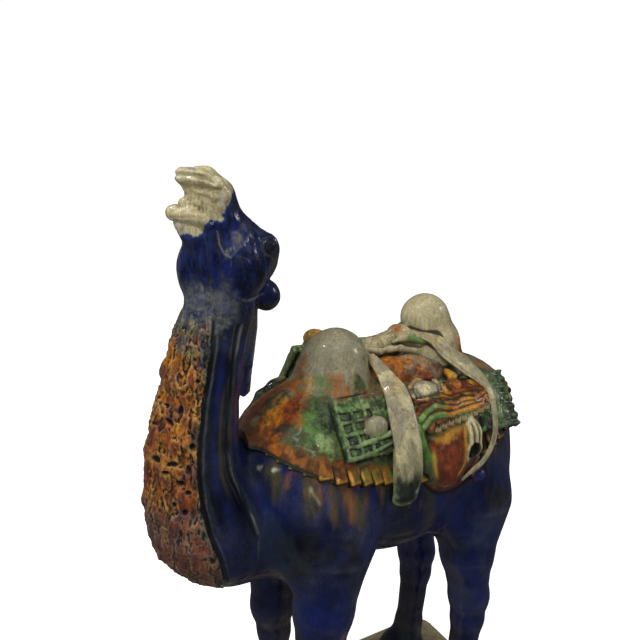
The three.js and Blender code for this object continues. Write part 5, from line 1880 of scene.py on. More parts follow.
                # patchy painted shade on the back face, against the body
                brush.fleck(Glaze.PEAT, 0.6 * ramp(-0.1, -0.5, out), -0.3, 0.4, 1.5, 7)
            else:
                # far board: paler green all over and bright stripes across its ribs, partly its own glaze,
                # partly painted light on its shaded inner face
                brush.wash(Glaze.LEAF, 0.7)
                brush.wash(Glaze.FROST, 0.55 + 0.4 * np.cos(2 * math.pi * a / 1.1))
            brush.vein(Glaze.PEAT, 1.0, 27, 0.1, 0.7)
            brush.wash(Glaze.FROST, 0.8 * oval)
            tail = ramp(self.length / 2 - 2.6, self.length / 2 - 1.4, a)
            brush.wash(Glaze.PEAT, 0.85 * tail * ramp(-0.7, 0.2, brush.noise(0.8, 8)) * (1 - oval))
            if name == "near_board":
                boss = self.dome()(*xyz(skin.points))
                brush.wash(Glaze.CREAM, 0.9 * ramp(0.35, 0.05, boss))
                brush.wash(Glaze.ASH, 0.5 * ramp(0.35, 0.05, boss))
                # dark ring where the dome meets the board: umber glaze and painted shade
                brush.wash(Glaze.UMBER, 0.7 * ridge(boss, 0.45, 0.2))
                brush.strokes(LEAF_STROKES)
            brush.coat.dust[:] = 0.12
            brush.coat.craze[:] = 0.35
            brush.pool(4, 7)
            if name == "near_board":
                # painted shade round the bags and hanks that lie on the near board
                brush.shade_contacts(resting, 0.5)
            made.append(kiln.fire(name, skin, brush.coat))
        return made


LEAF_STROKES = (
    Stroke(Glaze.FROST, ((-10.9, -12.1, 62.2, 0.2), (-9.4, -11.8, 62.4, 0.35), (-4.9, -12.2, 63.1, 0.5)),
        0.3, 0.3, 0.9),
    Stroke(Glaze.LEAF, ((-12.4, -13.1, 60.8, 0.3), (-8.4, -13.1, 61.3, 0.35), (-4.8, -12.9, 62.0, 0.3)),
        0.3, 0.3, 0.9),
)


@dataclass
class Mask:
    """The mask-faced saddlebag: brow, knobs, rolled lips, box teeth, a ribbed sleeve and a round bag."""

    body: Body
    cell: float = 0.135
    box: Box = ((-4, -18.5, 46), (15.5, -4, 70.5))
    eye: Box = ((3.0, -8.2, 66.2), (2.8, 2.1, 1.3))
    teeth: int = 9
    sleeve_x: float = 8.0
    sleeve_rib: float = 0.9
    bands: Sequence[Sequence[Station]] = (
        ((0, -10, 64.2), (1.4, -9.6, 65), (2.8, -10.1, 65.5), (4.5, -10.3, 65.6), (5.8, -11.2, 65.1),
            (7.4, -10.9, 65.1),
         (9, -10.8, 65.1), (10.3, -11.3, 65), (12.4, -10.2, 65.1), (12.9, -10.1, 65.8)),
        ((0.1, -10.4, 63.6), (1.8, -10.1, 64.4), (3.3, -10.5, 65.1), (4.5, -11.6, 64.9), (6.1, -12, 64.7),
         (7.8, -11.5, 64.8), (9.8, -11.8, 64.5), (11.6, -11.4, 64.9), (12.8, -11, 65)),
        ((-0.6, -12.5, 63.9), (0.9, -11.8, 64.6), (3, -11.2, 64.7), (4.2, -12, 64.5), (5.4, -12.4, 64.2),
         (8, -12, 64.2), (10, -12, 64.1), (12.6, -11.7, 64.3)),
        ((-0.4, -13, 63.0), (1, -12.6, 63.8), (2.7, -12.4, 63.9), (4.3, -12.9, 63.6), (6.8, -12.8, 63.7),
         (10, -12.5, 63.7), (12.7, -12.1, 63.8)),
    )
    gum: Sequence[Station] = (
        (1, -13.6, 62.4), (2.8, -13.4, 62.7), (4.4, -13.3, 62.9), (5.5, -13.3, 63.0), (6.9, -13.2, 63.1),
        (8.2, -13, 63.1), (9.6, -12.7, 63.1), (10.9, -12.6, 63.4), (12.3, -12.4, 63.5),
    )
    lids: Sequence[Sequence[Station]] = (
        ((0.4, -9.2, 65.9), (0.8, -7.8, 66.9), (3.4, -6.0, 67.0), (5.8, -6.0, 66.9), (5.7, -7.8, 67.0),
            (5.1, -9, 66.5),
         (4, -10, 65.9)),
        ((0.5, -9.6, 65.3), (2.3, -10.2, 65.6), (3.9, -9.7, 66.1), (4.4, -8.3, 66.8), (3.4, -7.2, 67.0)),
    )
    side_band: Sequence[Station] = (
        (-0.9, -12.0, 63.9), (-1, -12.8, 62.5), (-0.8, -13.3, 60.4), (0.2, -13.2, 58.4), (0.2, -13.5, 56.2),
    )

    def form(self) -> Form:
        """The left bag's form."""
        egg, chain, joined = Form.egg, Form.chain, Form.joined
        pad = joined(1.2, egg((5.6, -11.0, 57.5), (6.8, 3.4, 7.6)), egg((3.8, -12.2, 56.4), (4.2, 3.5, 5.0)))
        sleeve = chain(((7.7, -12.9, 62.2, 1.2), (8.1, -13.6, 60.4, 1.55), (7.9, -13.7, 58.2, 1.95)), 0.5)
        hole = egg((7.8, -15.7, 57.8), (1.05, 1.9, 1.55))
        forehead = egg((5.0, -8.4, 64.4), (4.6, 2.2, 2.0))
        eye = egg(*self.eye)
        knobs = joined(
            0.3,
            chain(((9.6, -5.0, 67.0, 0.5), (9.1, -6.4, 67.2, 0.6), (9.1, -7.5, 66.9, 0.8)), 0.2),
            chain(((6.0, -8.9, 66.4, 0.6), (6.0, -9.8, 65.4, 0.5)), 0.2),
            egg((8.3, -8.8, 66.0), (1.45, 1.3, 1.2)),
            egg((10.5, -9.2, 65.5), (0.95, 1.0, 0.9)),
            egg((9.4, -8.0, 65.6), (2.6, 1.6, 0.9)),
            egg((11.9, -8.6, 65.6), (0.8, 0.8, 0.75)),
            chain(((11.4, -7.2, 65.9, 0.5), (12.3, -6.2, 65.7, 0.6), (13.0, -7.2, 65.3, 0.5)), 0.2),
        )
        lips = joined(
            0.22,
            *[Form.thread(smooth_path(line, 3), 0.48, 0.12) for line in self.bands],
            *[chain([(s[0], s[1] + 0.6, s[2] - 0.2, 0.95) for s in line], 0.5) for line in self.bands],
        )
        lids = joined(0.35, *[Form.thread(smooth_path(line, 3), 0.36, 0.2) for line in self.lids])
        gums = chain([(s[0], s[1] + 0.75, s[2], 0.95) for s in self.gum], 0.3)
        bobble = egg((9.9, -13.6, 52.8), (1.3, 1.4, 1.2))
        band = chain([(s[0], s[1] + 0.2, s[2], 0.8) for s in self.side_band], 0.5)
        body = joined(0.6, pad, forehead)
        holed = joined(0.35, body, sleeve).carved(0.25, hole)
        return joined(0.18, holed, eye, knobs, lips, lids, gums, bobble, band)

    def tooth(self) -> bpy.types.Object:
        """One box tooth, in metres, outward along Y and upward along Z."""
        def depth(x: Array, y: Array, z: Array) -> Array:
            """A rounded box with a hollow face."""
            block = (np.abs(x / 0.56) ** 5 + np.abs(z / 0.78) ** 5 + np.abs(y / 0.5) ** 4 - 1) * 0.15
            dent = ((x / 0.36) ** 2 + (z / 0.52) ** 2 + ((y - 0.6) / 0.3) ** 2 - 1) * 0.2
            return -soft_lower(-block, dent, 0.06)

        return Skin.over(Form(depth), (-0.7, -0.7, -0.9), (0.7, 0.7, 0.9), 0.12, 2).as_copy("tooth")

    def build(self, kiln: Kiln) -> list[bpy.types.Object]:
        """Makes the finished bags and rows of teeth on both sides."""
        left = Skin.over(self.form(), *self.box, self.cell)
        grain = self.body.grain
        tree = Trees.row(kiln.material, self.tooth())
        made = []
        for name, side in (("near_mask", 1), ("far_mask", -1)):
            skin = Skin(left.points.copy(), left.quads)
            x, y, z = xyz(skin.points)
            across = x - self.sleeve_x
            ribs = ramp(1.9, 1.2, np.abs(across)) * ramp(62.6, 61.8, z) * ramp(58.6, 59.6, z) * ramp(-12.4,
                -13.2, y)
            wave = np.cos(2 * math.pi * across / self.sleeve_rib)
            relief = 0.12 * wave * ribs + 0.03 * grain(x, side * y, z, 1.1, 3)
            skin.press(relief + sum(seam.rise * seam.shape(skin.points) for seam in MASK_SEAMS))
            brush = Brush(skin, Glaze.RUST, grain)
            brush.mottle(Glaze.UMBER, 2.2, 1, 0.1, 0.7)
            brush.mottle(Glaze.AMBER, 1.6, 2, 0.45, 0.4, 1.8)
            brush.vein(Glaze.UMBER, 1.4, 23, 0.1, 0.6, 2.0)
            brush.strokes(MASK_STROKES)
            brush.wash(Glaze.OLIVE, 0.75 * ribs * ramp(0.5, -0.5, wave))
            mound = Form.egg(*self.eye)(x, y, z)
            brush.wash(Glaze.STRAW, ramp(0.5, 0.3, mound))
            brush.fleck(Glaze.ASH, 0.7 * ramp(0.5, 0.3, mound), -0.2, 0.4, 1.3, 24)
            brush.vein(Glaze.UMBER, 1.6, 25, 0.08, 0.7 * ramp(0.5, 0.3, mound))
            petals = Form.egg((8.6, -8.7, 66.0), (3.2, 2.4, 1.8))(x, y, z)
            brush.vein(Glaze.PEAT, 0.9, 26, 0.12, 0.85 * ramp(0.3, 0.0, petals))
            wide = ramp(5.2, 2.6, x + 1.2 * brush.noise(1.2, 3))
            for line in self.bands:
                away = Form.thread(line, 0.0, 0.1)(x, y, z)
                here = ramp(0.7, 0.5, away)
                brush.wash(Glaze.AMBER, here)
                brush.fleck(Glaze.GOLD, 0.7 * here, -0.1, 0.4, 1.3, 4)
                brush.wash(Glaze.LEAF, here * wide)
                # a dark line in the crease beside each band: pooling glaze and painted shade
                brush.wash(Glaze.PEAT, 0.85 * ridge(away, 0.66, 0.1))
                brush.fleck(Glaze.FROST, 0.6 * here * wide, 0, 0.4, 0.9, 5)
            for line in self.lids:
                away = Form.thread(line, 0.0, 0.1)(x, y, z)
                brush.fleck(Glaze.GOLD, 0.8 * ramp(0.5, 0.35, away), -0.2, 0.4, 1.0, 6)
                # a dark line in the crease beside each lid: umber glaze and painted shade
                brush.wash(Glaze.UMBER, 0.8 * ridge(away, 0.55, 0.12))
            brush.seams(MASK_SEAMS)
            # painted shade inside the sleeve's hole
            brush.wash(Glaze.PEAT, ramp(0.3, -0.1, Form.egg((7.8, -15.4, 57.8), (1.05, 1.9, 1.5))(x, y, z)))
            brush.coat.dust[:] = 0.05
            brush.coat.craze[:] = 0.3
            brush.pool(4, 9)
            if side < 0:
                skin.points, skin.quads = skin.points * (1, -1, 1), skin.quads[:, ::-1]
            made.append(kiln.fire(name, skin, brush.coat))
            made.append(self.bite(kiln, tree, name.replace("mask", "teeth"), side))
        return made

    def bite(self, kiln: Kiln, tree: bpy.types.NodeTree, name: str, side: int) -> bpy.types.Object:
        """Makes one finished row of teeth.

        Args:
            kiln: finishes it.
            tree: sets the copies.
            name: the piece's name.
            side: 1 for the left, -1 for the right.

        Returns:
            The piece.
        """
        points = evenly(smooth_path(self.gum, 12), self.teeth)[0] * (1, side, 1)
        out = np.tile((0.1, -0.86 * side, 0.5), (self.teeth, 1))
        up = np.tile((0.32, 0.2 * side, 0.9), (self.teeth, 1))
        line = Trees.line("gum_line", points, {"outward": out, "upward": up}, {})
        piece = Trees.grow(name, line, tree, {"Size": 1.0, "Uneven": 0.06})
        brush = Brush(Skin.of_grown(piece), Glaze.OLIVE, self.body.grain)
        x = brush.x
        brush.wash(Glaze.PEAT, ramp(3.2, 1.6, x))
        brush.wash(Glaze.UMBER, ridge(x, 4.2, 1.6))
        brush.wash(Glaze.LEAF, 0.85 * ridge(x, 8.2, 2.2))
        brush.wash(Glaze.PEAT, 0.8 * ramp(10.6, 11.8, x))
        rim = -brush.y * side - np.interp(x, [s[0] for s in self.gum], [-s[1] for s in self.gum])
        brush.wash(Glaze.TAN, 0.75 * ramp(0.22, 0.42, rim))
        # painted shade at the teeth's roots, where they go into the gum
        brush.wash(Glaze.PEAT, 0.9 * ramp(0.05, -0.2, rim))
        brush.coat.craze[:] = 0.2
        return kiln.finish(piece, brush.coat)


MASK_SEAMS = (
    Seam(((6.6, -14, 61.9), (6.3, -14.7, 59.1), (5.8, -15.5, 56.6), (4.4, -15.8, 55.0)), 0.3, 0.18,
        Glaze.GOLD, 0.85, False),
    Seam(((-1.4, -14.2, 54.9), (1.3, -14.8, 53.4), (3.4, -15.2, 52.9), (6.0, -14.9, 52.6), (8.8, -13.9, 53.4),
          (11.1, -13.2, 55.4)), 0.35, 0.2, Glaze.TAN, 0.85, False),
    Seam(((0.8, -13.9, 61.4), (0.7, -14.3, 59.4), (0.6, -14.7, 57.0), (0.9, -15.0, 55.0)), 0.32, 0.12,
        Glaze.GOLD, 0.8, False),
    Seam(((-0.7, -13.2, 62.5), (-0.1, -13.6, 61.0), (0.7, -13.8, 60.0)), 0.16, -0.16, Glaze.PEAT, 0.8, False),
    Seam(((1.2, -8.9, 66.5), (2.4, -8.2, 67.0), (3.3, -8.8, 66.7)), 0.2, -0.14, Glaze.SLATE, 0.7, False),
    Seam(((9.9, -14.0, 61.6), (10.0, -14.2, 59.6), (9.9, -13.9, 57.6)), 0.2, -0.16, Glaze.UMBER, 0.8, False),
)


MASK_STROKES = (
    Stroke(Glaze.STRAW, ((1.6, -8.6, 66.2, 1.0), (3.4, -8.4, 66.4, 1.0)), 0.4, 0.3),
    Stroke(Glaze.ASH, ((4.6, -7.6, 66.2, 0.9), (3.0, -6.4, 66.2, 0.8)), 0.5, 0.5, 0.8),
    Stroke(Glaze.LEAF, ((-0.9, -12.8, 63.6, 1.1), (-0.9, -13.8, 60.4, 1.0), (0.2, -13.9, 57.6, 0.8)), 0.35,
        0.3),
    Stroke(Glaze.MOSS, ((0.2, -14, 56.6, 0.8), (0.4, -14, 54.4, 0.9)), 0.4, 0.4, 0.9),
    Stroke(Glaze.MOSS, ((0.6, -13.2, 61.8, 0.9), (5.7, -13.2, 62.2, 0.9), (12.7, -12.2, 62.8, 0.9)), 0.4,
        0.4),
    Stroke(Glaze.GOLD, ((2.0, -14.4, 61.2, 0.7), (5.8, -14.2, 61.4, 0.6)), 0.5, 0.7, 0.7),
    Stroke(Glaze.STRAW, ((7.7, -14, 62.0, 1.1), (8.1, -15, 60.2, 1.4), (7.9, -15.4, 57.8, 1.75)), 0.3, 0.25),
    Stroke(Glaze.LEAF, ((8.9, -14.2, 61.8, 0.35), (9.3, -14.8, 59.8, 0.3)), 0.3, 0.3, 0.7),
    Stroke(Glaze.CREAM, ((9.4, -14.6, 59.4, 0.4), (10.6, -13.8, 57.0, 0.7), (10.4, -13.8, 55.0, 0.6)), 0.4,
        0.5, 0.7),
    Stroke(Glaze.GOLD, ((6.0, -9.2, 66.8, 0.7), (6.0, -10.2, 65.6, 0.6)), 0.2, 0.2),
    Stroke(Glaze.AMBER, ((8.4, -9.6, 66.3, 1.2),), 0.3, 0.3),
    Stroke(Glaze.RUST, ((8.8, -9.9, 65.6, 0.5), (10.4, -9.9, 65.9, 0.6)), 0.3, 0.3, 0.8),
    Stroke(Glaze.GOLD, ((11.9, -9.0, 66.0, 0.8),), 0.25, 0.3),
    Stroke(Glaze.GOLD, ((9.6, -5.2, 67.6, 0.5), (9.1, -7.6, 67.3, 0.8)), 0.25, 0.25),
    Stroke(Glaze.AMBER, ((12.3, -6.2, 66.2, 1.1),), 0.3, 0.4, 0.9),
    Stroke(Glaze.COBALT, ((9.9, -13.9, 52.6, 1.6), (9.9, -13.7, 52.6, 1.6)), 0.4, 0.4),
    Stroke(Glaze.COBALT, ((-2, -13, 49, 1.5), (8, -13, 48.6, 1.6)), 0.8, 0.5),
)


@dataclass
class Saddle:
    """The rolls on top of the saddle, and the bolster and knob that prop the far board."""

    body: Body
    cell: float = 0.17
    box: Box = ((-21, -6, 60), (18, 12, 76))
    flap: Sequence[Station] = (
        (-19.2, 5.2, 62.9, 0.7), (-17.4, 5.6, 64.5, 0.9), (-15.0, 6.0, 65.6, 0.9), (-13.4, 6.4, 66.0, 0.8),
    )

    def build(self, kiln: Kiln) -> bpy.types.Object:
        """Makes the finished piece."""
        egg, chain, joined = Form.egg, Form.chain, Form.joined
        fore = chain(((-3.2, 1.0, 69.6, 1.7), (0.4, 1.9, 70.2, 1.75), (3.8, 2.0, 71.1, 1.6)), 0.8)
        low = chain(((-1.5, 0.1, 71.0, 0.4), (0.3, -0.3, 70.4, 0.45), (2.1, -0.6, 70.6, 0.5),
            (3.3, -1.8, 70.9, 0.45),
                     (5.0, -3.3, 70.7, 0.4)), 0.5)
        seat = chain(((-2.5, -1.0, 66.7, 2.4), (0.8, -1.8, 66.6, 3.0), (4.6, -2.8, 66.8, 3.0),
            (7.6, -3.4, 66.6, 2.6)), 1)
        aft = chain(((5.4, 2.2, 71.6, 1.75), (6.0, 0.2, 72.1, 1.75), (6.9, -1.9, 71.9, 1.5)), 0.8)
        slip = chain(((3.0, 0.0, 71.4, 0.2), (4.4, -0.5, 71.9, 0.5), (5.3, -2.2, 72.4, 0.65),
            (6.4, -3.2, 72.0, 0.5)), 0.4)
        back = chain(((-2.4, 4.5, 67.4, 1.6), (4.0, 4.2, 68.0, 1.8), (8.5, 4.2, 69.4, 1.7)), 0.8)
        propped = joined(
            0.5,
            chain(((-8.6, 7.4, 66.0, 3.0), (2, 7.6, 63.8, 3.0), (14, 7.2, 63.4, 2.8)), 1),
            egg((-8.0, 5.6, 72.4), (1.9, 1.5, 1.4)),
            egg((-8.4, 6.2, 70.2), (1.6, 1.4, 2.0)),
        )
        flap = chain(self.flap, 0.6)
        skin = Skin.over(joined(0.2, fore, low, seat, aft, slip, back, propped, flap), *self.box, self.cell)
        grain = self.body.grain
        skin.press(0.04 * grain(*xyz(skin.points), 1.2, 3))
        brush = Brush(skin, Glaze.CREAM, grain)
        x, y, z = brush.x, brush.y, brush.z
        brush.mottle(Glaze.TAN, 1.8, 1, 0.2, 0.6)
        fold = chain(((4.9, 3.0, 73.0, 0.0), (4.7, 0.6, 73.0, 0.0), (5.2, -1.0, 72.2, 0.0)))(x, y, z)
        brush.wash(Glaze.AMBER, 0.9 * ridge(fold, 0.1, 0.45))
        brush.wash(Glaze.LEAF, 0.85 * ramp(0.2, 0.0, slip(x, y, z)) * ramp(-1.4, -2.2, y))
        pad = ramp(0.3, 0.1, seat(x, y, z)) * ramp(0.05, 0.25, low(x, y, z)) * ramp(0.05, 0.3, fore(x, y, z))
        brush.wash(Glaze.AMBER, pad)
        brush.fleck(Glaze.RUST, 0.8 * pad, -0.6, 0.5, 1.3, 2, 4)
        brush.wash(Glaze.ASH, 0.75 * pad * ramp(0.1, 0.6, brush.noise(1.5, 3, 4) + 0.25 * (x - 3)))
        brush.vein(Glaze.GOLD, 1.3, 11, 0.1, 0.7 * pad)
        brush.fleck(Glaze.UMBER, 0.6 * pad, 0.3, 0.6, 1.0, 4)
        brush.wash(Glaze.GOLD, 1 - ramp(-0.1, 0.6, chain(((-8.0, 5.6, 72.4, 1.6), (-8.2, 5.6, 73, 1.5)))(x,
            y, z)))
        brush.wash(Glaze.MOSS, ramp(5.5, 6.2, y) * ramp(71.0, 70.2, z))
        hung = ramp(0.3, 0.1, flap(x, y, z))
        brush.wash(Glaze.MOSS, hung)
        brush.fleck(Glaze.PEAT, hung, -0.2, 0.3, 1.2, 9)
        spine = np.interp(x, [s[0] for s in self.flap], [s[2] for s in self.flap])
        brush.wash(Glaze.TAN, hung * ramp(-15.5, -13.5, x) * ramp(0.4, 0.8, z - spine))
        brush.vein(Glaze.UMBER, 1.4, 10, 0.08, 0.6)
        brush.coat.craze[:] = 0.7
        brush.coat.dust[:] = 0.1
        brush.pool(4, 8)
        return kiln.fire("saddle_rolls", skin, brush.coat)


class Trees:
    """Geometry Nodes trees for what follows a path or repeats along one."""

    @staticmethod
    def _tree(name: str, numbers: dict[str, float]) -> tuple[Bench, dict[str, Shade]]:
        """Starts a tree with a geometry input, named numbers and a geometry output.

        Args:
            name: the tree's name.
            numbers: its number inputs and their usual values.

        Returns:
            A bench for it, and its inputs by name.
        """
        tree = bpy.data.node_groups.new(name, "GeometryNodeTree")
        tree.interface.new_socket("Geometry", in_out="INPUT", socket_type="NodeSocketGeometry")
        tree.interface.new_socket("Geometry", in_out="OUTPUT", socket_type="NodeSocketGeometry")
        for title, value in numbers.items():
            socket = tree.interface.new_socket(title, in_out="INPUT", socket_type="NodeSocketFloat")
            socket.default_value = value
        bench = Bench(tree)
        return bench, {shade.socket.name: shade for shade in bench.node("NodeGroupInput", {}, {})}

    @staticmethod
    def _named(bench: Bench, name: str, kind: str = "FLOAT_VECTOR") -> Shade:
        """An attribute of the tree's points."""
        return bench.node("GeometryNodeInputNamedAttribute", {"data_type": kind}, {"Name": name})[0]

    @staticmethod
    def hank(material: bpy.types.Material) -> bpy.types.NodeTree:
        """A flat hank of silk along a path, with grooves between its strands.

        The path is a line of mesh edges with the attributes outward and girth.

        Args:
            material: its finish.

        Returns:
            The tree.
        """
        bench, given = Trees._tree("hank", {"Width": 1.0, "Thickness": 0.5, "Strands": 9.0, "Groove": 0.05})
        girth = Trees._named(bench, "girth", "FLOAT")
        path = bench.node("GeometryNodeMeshToCurve", {}, {"Mesh": given["Geometry"]})[0]
        turned = bench.node("GeometryNodeSetCurveNormal", {"mode": "FREE"}, {
            "Curve": path, "Normal": Trees._named(bench, "outward"),
        })[0]
        ring = bench.node("GeometryNodeCurvePrimitiveCircle", {"mode": "RADIUS"},
            {"Resolution": 72, "Radius": 1.0})[0]
        factor = bench.node("GeometryNodeSplineParameter", {}, {})[0]
        angle = factor * (2 * math.pi)
        wave = bench.node("ShaderNodeMath", {"operation": "COSINE"}, {0: angle * given["Strands"]})[0]
        reach = 1.0 + wave * given["Groove"]
        cosine = bench.node("ShaderNodeMath", {"operation": "COSINE"}, {0: angle})[0]
        sine = bench.node("ShaderNodeMath", {"operation": "SINE"}, {0: angle})[0]
        spot = bench.node("ShaderNodeCombineXYZ", {}, {
            "X": sine * reach * given["Thickness"] * 0.5,
            "Y": cosine * reach * given["Width"] * 0.5,
        })[0]
        outline = bench.node("GeometryNodeSetPosition", {}, {"Geometry": ring, "Position": spot})[0]
        swept = bench.node("GeometryNodeCurveToMesh", {}, {
            "Curve": turned, "Profile Curve": outline, "Scale": girth, "Fill Caps": True,
        })[0]
        return Trees._end(bench, swept, material)

    @staticmethod
    def row(material: bpy.types.Material, copy: bpy.types.Object) -> bpy.types.NodeTree:
        """Copies of an object on points that have the attributes outward and upward.

        Args:
            material: their finish.
            copy: what is repeated.

        Returns:
            The tree.
        """
        bench, given = Trees._tree(f"row_of_{copy.name}", {"Size": 1.0, "Uneven": 0.08})
        turn = bench.node("FunctionNodeAxesToRotation", {"primary_axis": "Y", "secondary_axis": "Z"}, {
            "Primary Axis": Trees._named(bench, "outward"), "Secondary Axis": Trees._named(bench, "upward"),
        })[0]
        chance = bench.node("FunctionNodeRandomValue", {"data_type": "FLOAT"},
            {"Min": -1.0, "Max": 1.0, "Seed": 3})[1]
        scale = given["Size"] + chance * given["Uneven"]
        shape = bench.node("GeometryNodeObjectInfo", {"transform_space": "ORIGINAL"}, {"Object": copy})[4]
        copies = bench.node("GeometryNodeInstanceOnPoints", {}, {
            "Points": given["Geometry"], "Instance": shape, "Rotation": turn, "Scale": scale,
        })[0]
        return Trees._end(bench, copies, material)

    @staticmethod
    def _end(bench: Bench, shape: Shade, material: bpy.types.Material) -> bpy.types.NodeTree:
        """Realises the shape, gives it its material and ends the tree, which it returns."""
        real = bench.node("GeometryNodeRealizeInstances", {}, {"Geometry": shape})[0]
        dressed = bench.node("GeometryNodeSetMaterial", {}, {"Geometry": real, "Material": material})[0]
        bench.node("NodeGroupOutput", {}, {0: dressed})
        return bench.tree

    @staticmethod
    def grow(name: str, line: bpy.types.Object, tree: bpy.types.NodeTree,
            sizes: dict[str, float]) -> bpy.types.Object:
        """Runs a tree over a line and keeps the result as a plain mesh.

        Args:
            name: the new piece's name.
            line: the object that the tree works on, which is removed.
            tree: the tree.
            sizes: values of its named inputs.

        Returns:
            An object with the grown mesh.
        """
        modifier = line.modifiers.new("grow", "NODES")
        modifier.node_group = tree
        for item in tree.interface.items_tree:
            if item.item_type == "SOCKET" and item.in_out == "INPUT" and item.name in sizes:
                modifier[item.identifier] = sizes[item.name]
        view = bpy.context.evaluated_depsgraph_get()
        mesh = bpy.data.meshes.new_from_object(line.evaluated_get(view))
        bpy.data.objects.remove(line)
        mesh.name = name
        piece = bpy.data.objects.new(name, mesh)
        bpy.context.scene.collection.objects.link(piece)
        return piece

    @staticmethod
    def line(name: str, points: Array, vectors: dict[str, Array],
            numbers: dict[str, Array]) -> bpy.types.Object:
        """A line of mesh edges with attributes, in metres.

        Args:
            name: its name.
            points: its points, in modules.
            vectors: vector attributes.
            numbers: number attributes.

        Returns:
            The object.
        """
        mesh = bpy.data.meshes.new(name)
        mesh.from_pydata(to_metres(points).tolist(), [(n, n + 1) for n in range(len(points) - 1)], [])
        for title, values in vectors.items():
            layer = mesh.attributes.new(title, "FLOAT_VECTOR", "POINT")
            layer.data.foreach_set("vector", np.asarray(values, np.float32).ravel())
        for title, values in numbers.items():
            layer = mesh.attributes.new(title, "FLOAT", "POINT")
            layer.data.foreach_set("value", np.asarray(values, np.float32))
        made = bpy.data.objects.new(name, mesh)
        bpy.context.scene.collection.objects.link(made)
        return made


def smooth_path(stations: Sequence[Station], steps: int) -> Array:
    """A smooth curve through stations.

    Args:
        stations: x, y, z of each.
        steps: points for each span.

    Returns:
        The curve's points.
    """
    joints = np.array(stations, float)
    made = []
    last = len(joints) - 1
    for i in range(last):
        p0, p1, p2, p3 = joints[max(i - 1, 0)], joints[i], joints[i + 1], joints[min(i + 2, last)]
        for t in np.arange(steps) / steps:
            made.append(0.5 * (
                2 * p1 + (p2 - p0) * t + (2 * p0 - 5 * p1 + 4 * p2 - p3) * t**2
                + (3 * p1 - p0 - 3 * p2 + p3) * t**3
            ))
    made.append(joints[-1])
    return np.array(made)


def outward_of(form: Form, points: Array) -> Array:
    """Unit vectors straight out of a form at some points."""
    slope = rises(form, points, 0.05)[1]
    return slope / np.linalg.norm(slope, axis=1, keepdims=True)


def in_modules(mesh: bpy.types.Mesh) -> Array:
    """A mesh's points, turned from metres into modules."""
    flat = np.empty(len(mesh.vertices) * 3, np.float32)
    mesh.vertices.foreach_get("co", flat)
    return (flat.reshape(-1, 3) - SHIFT) / MODULE


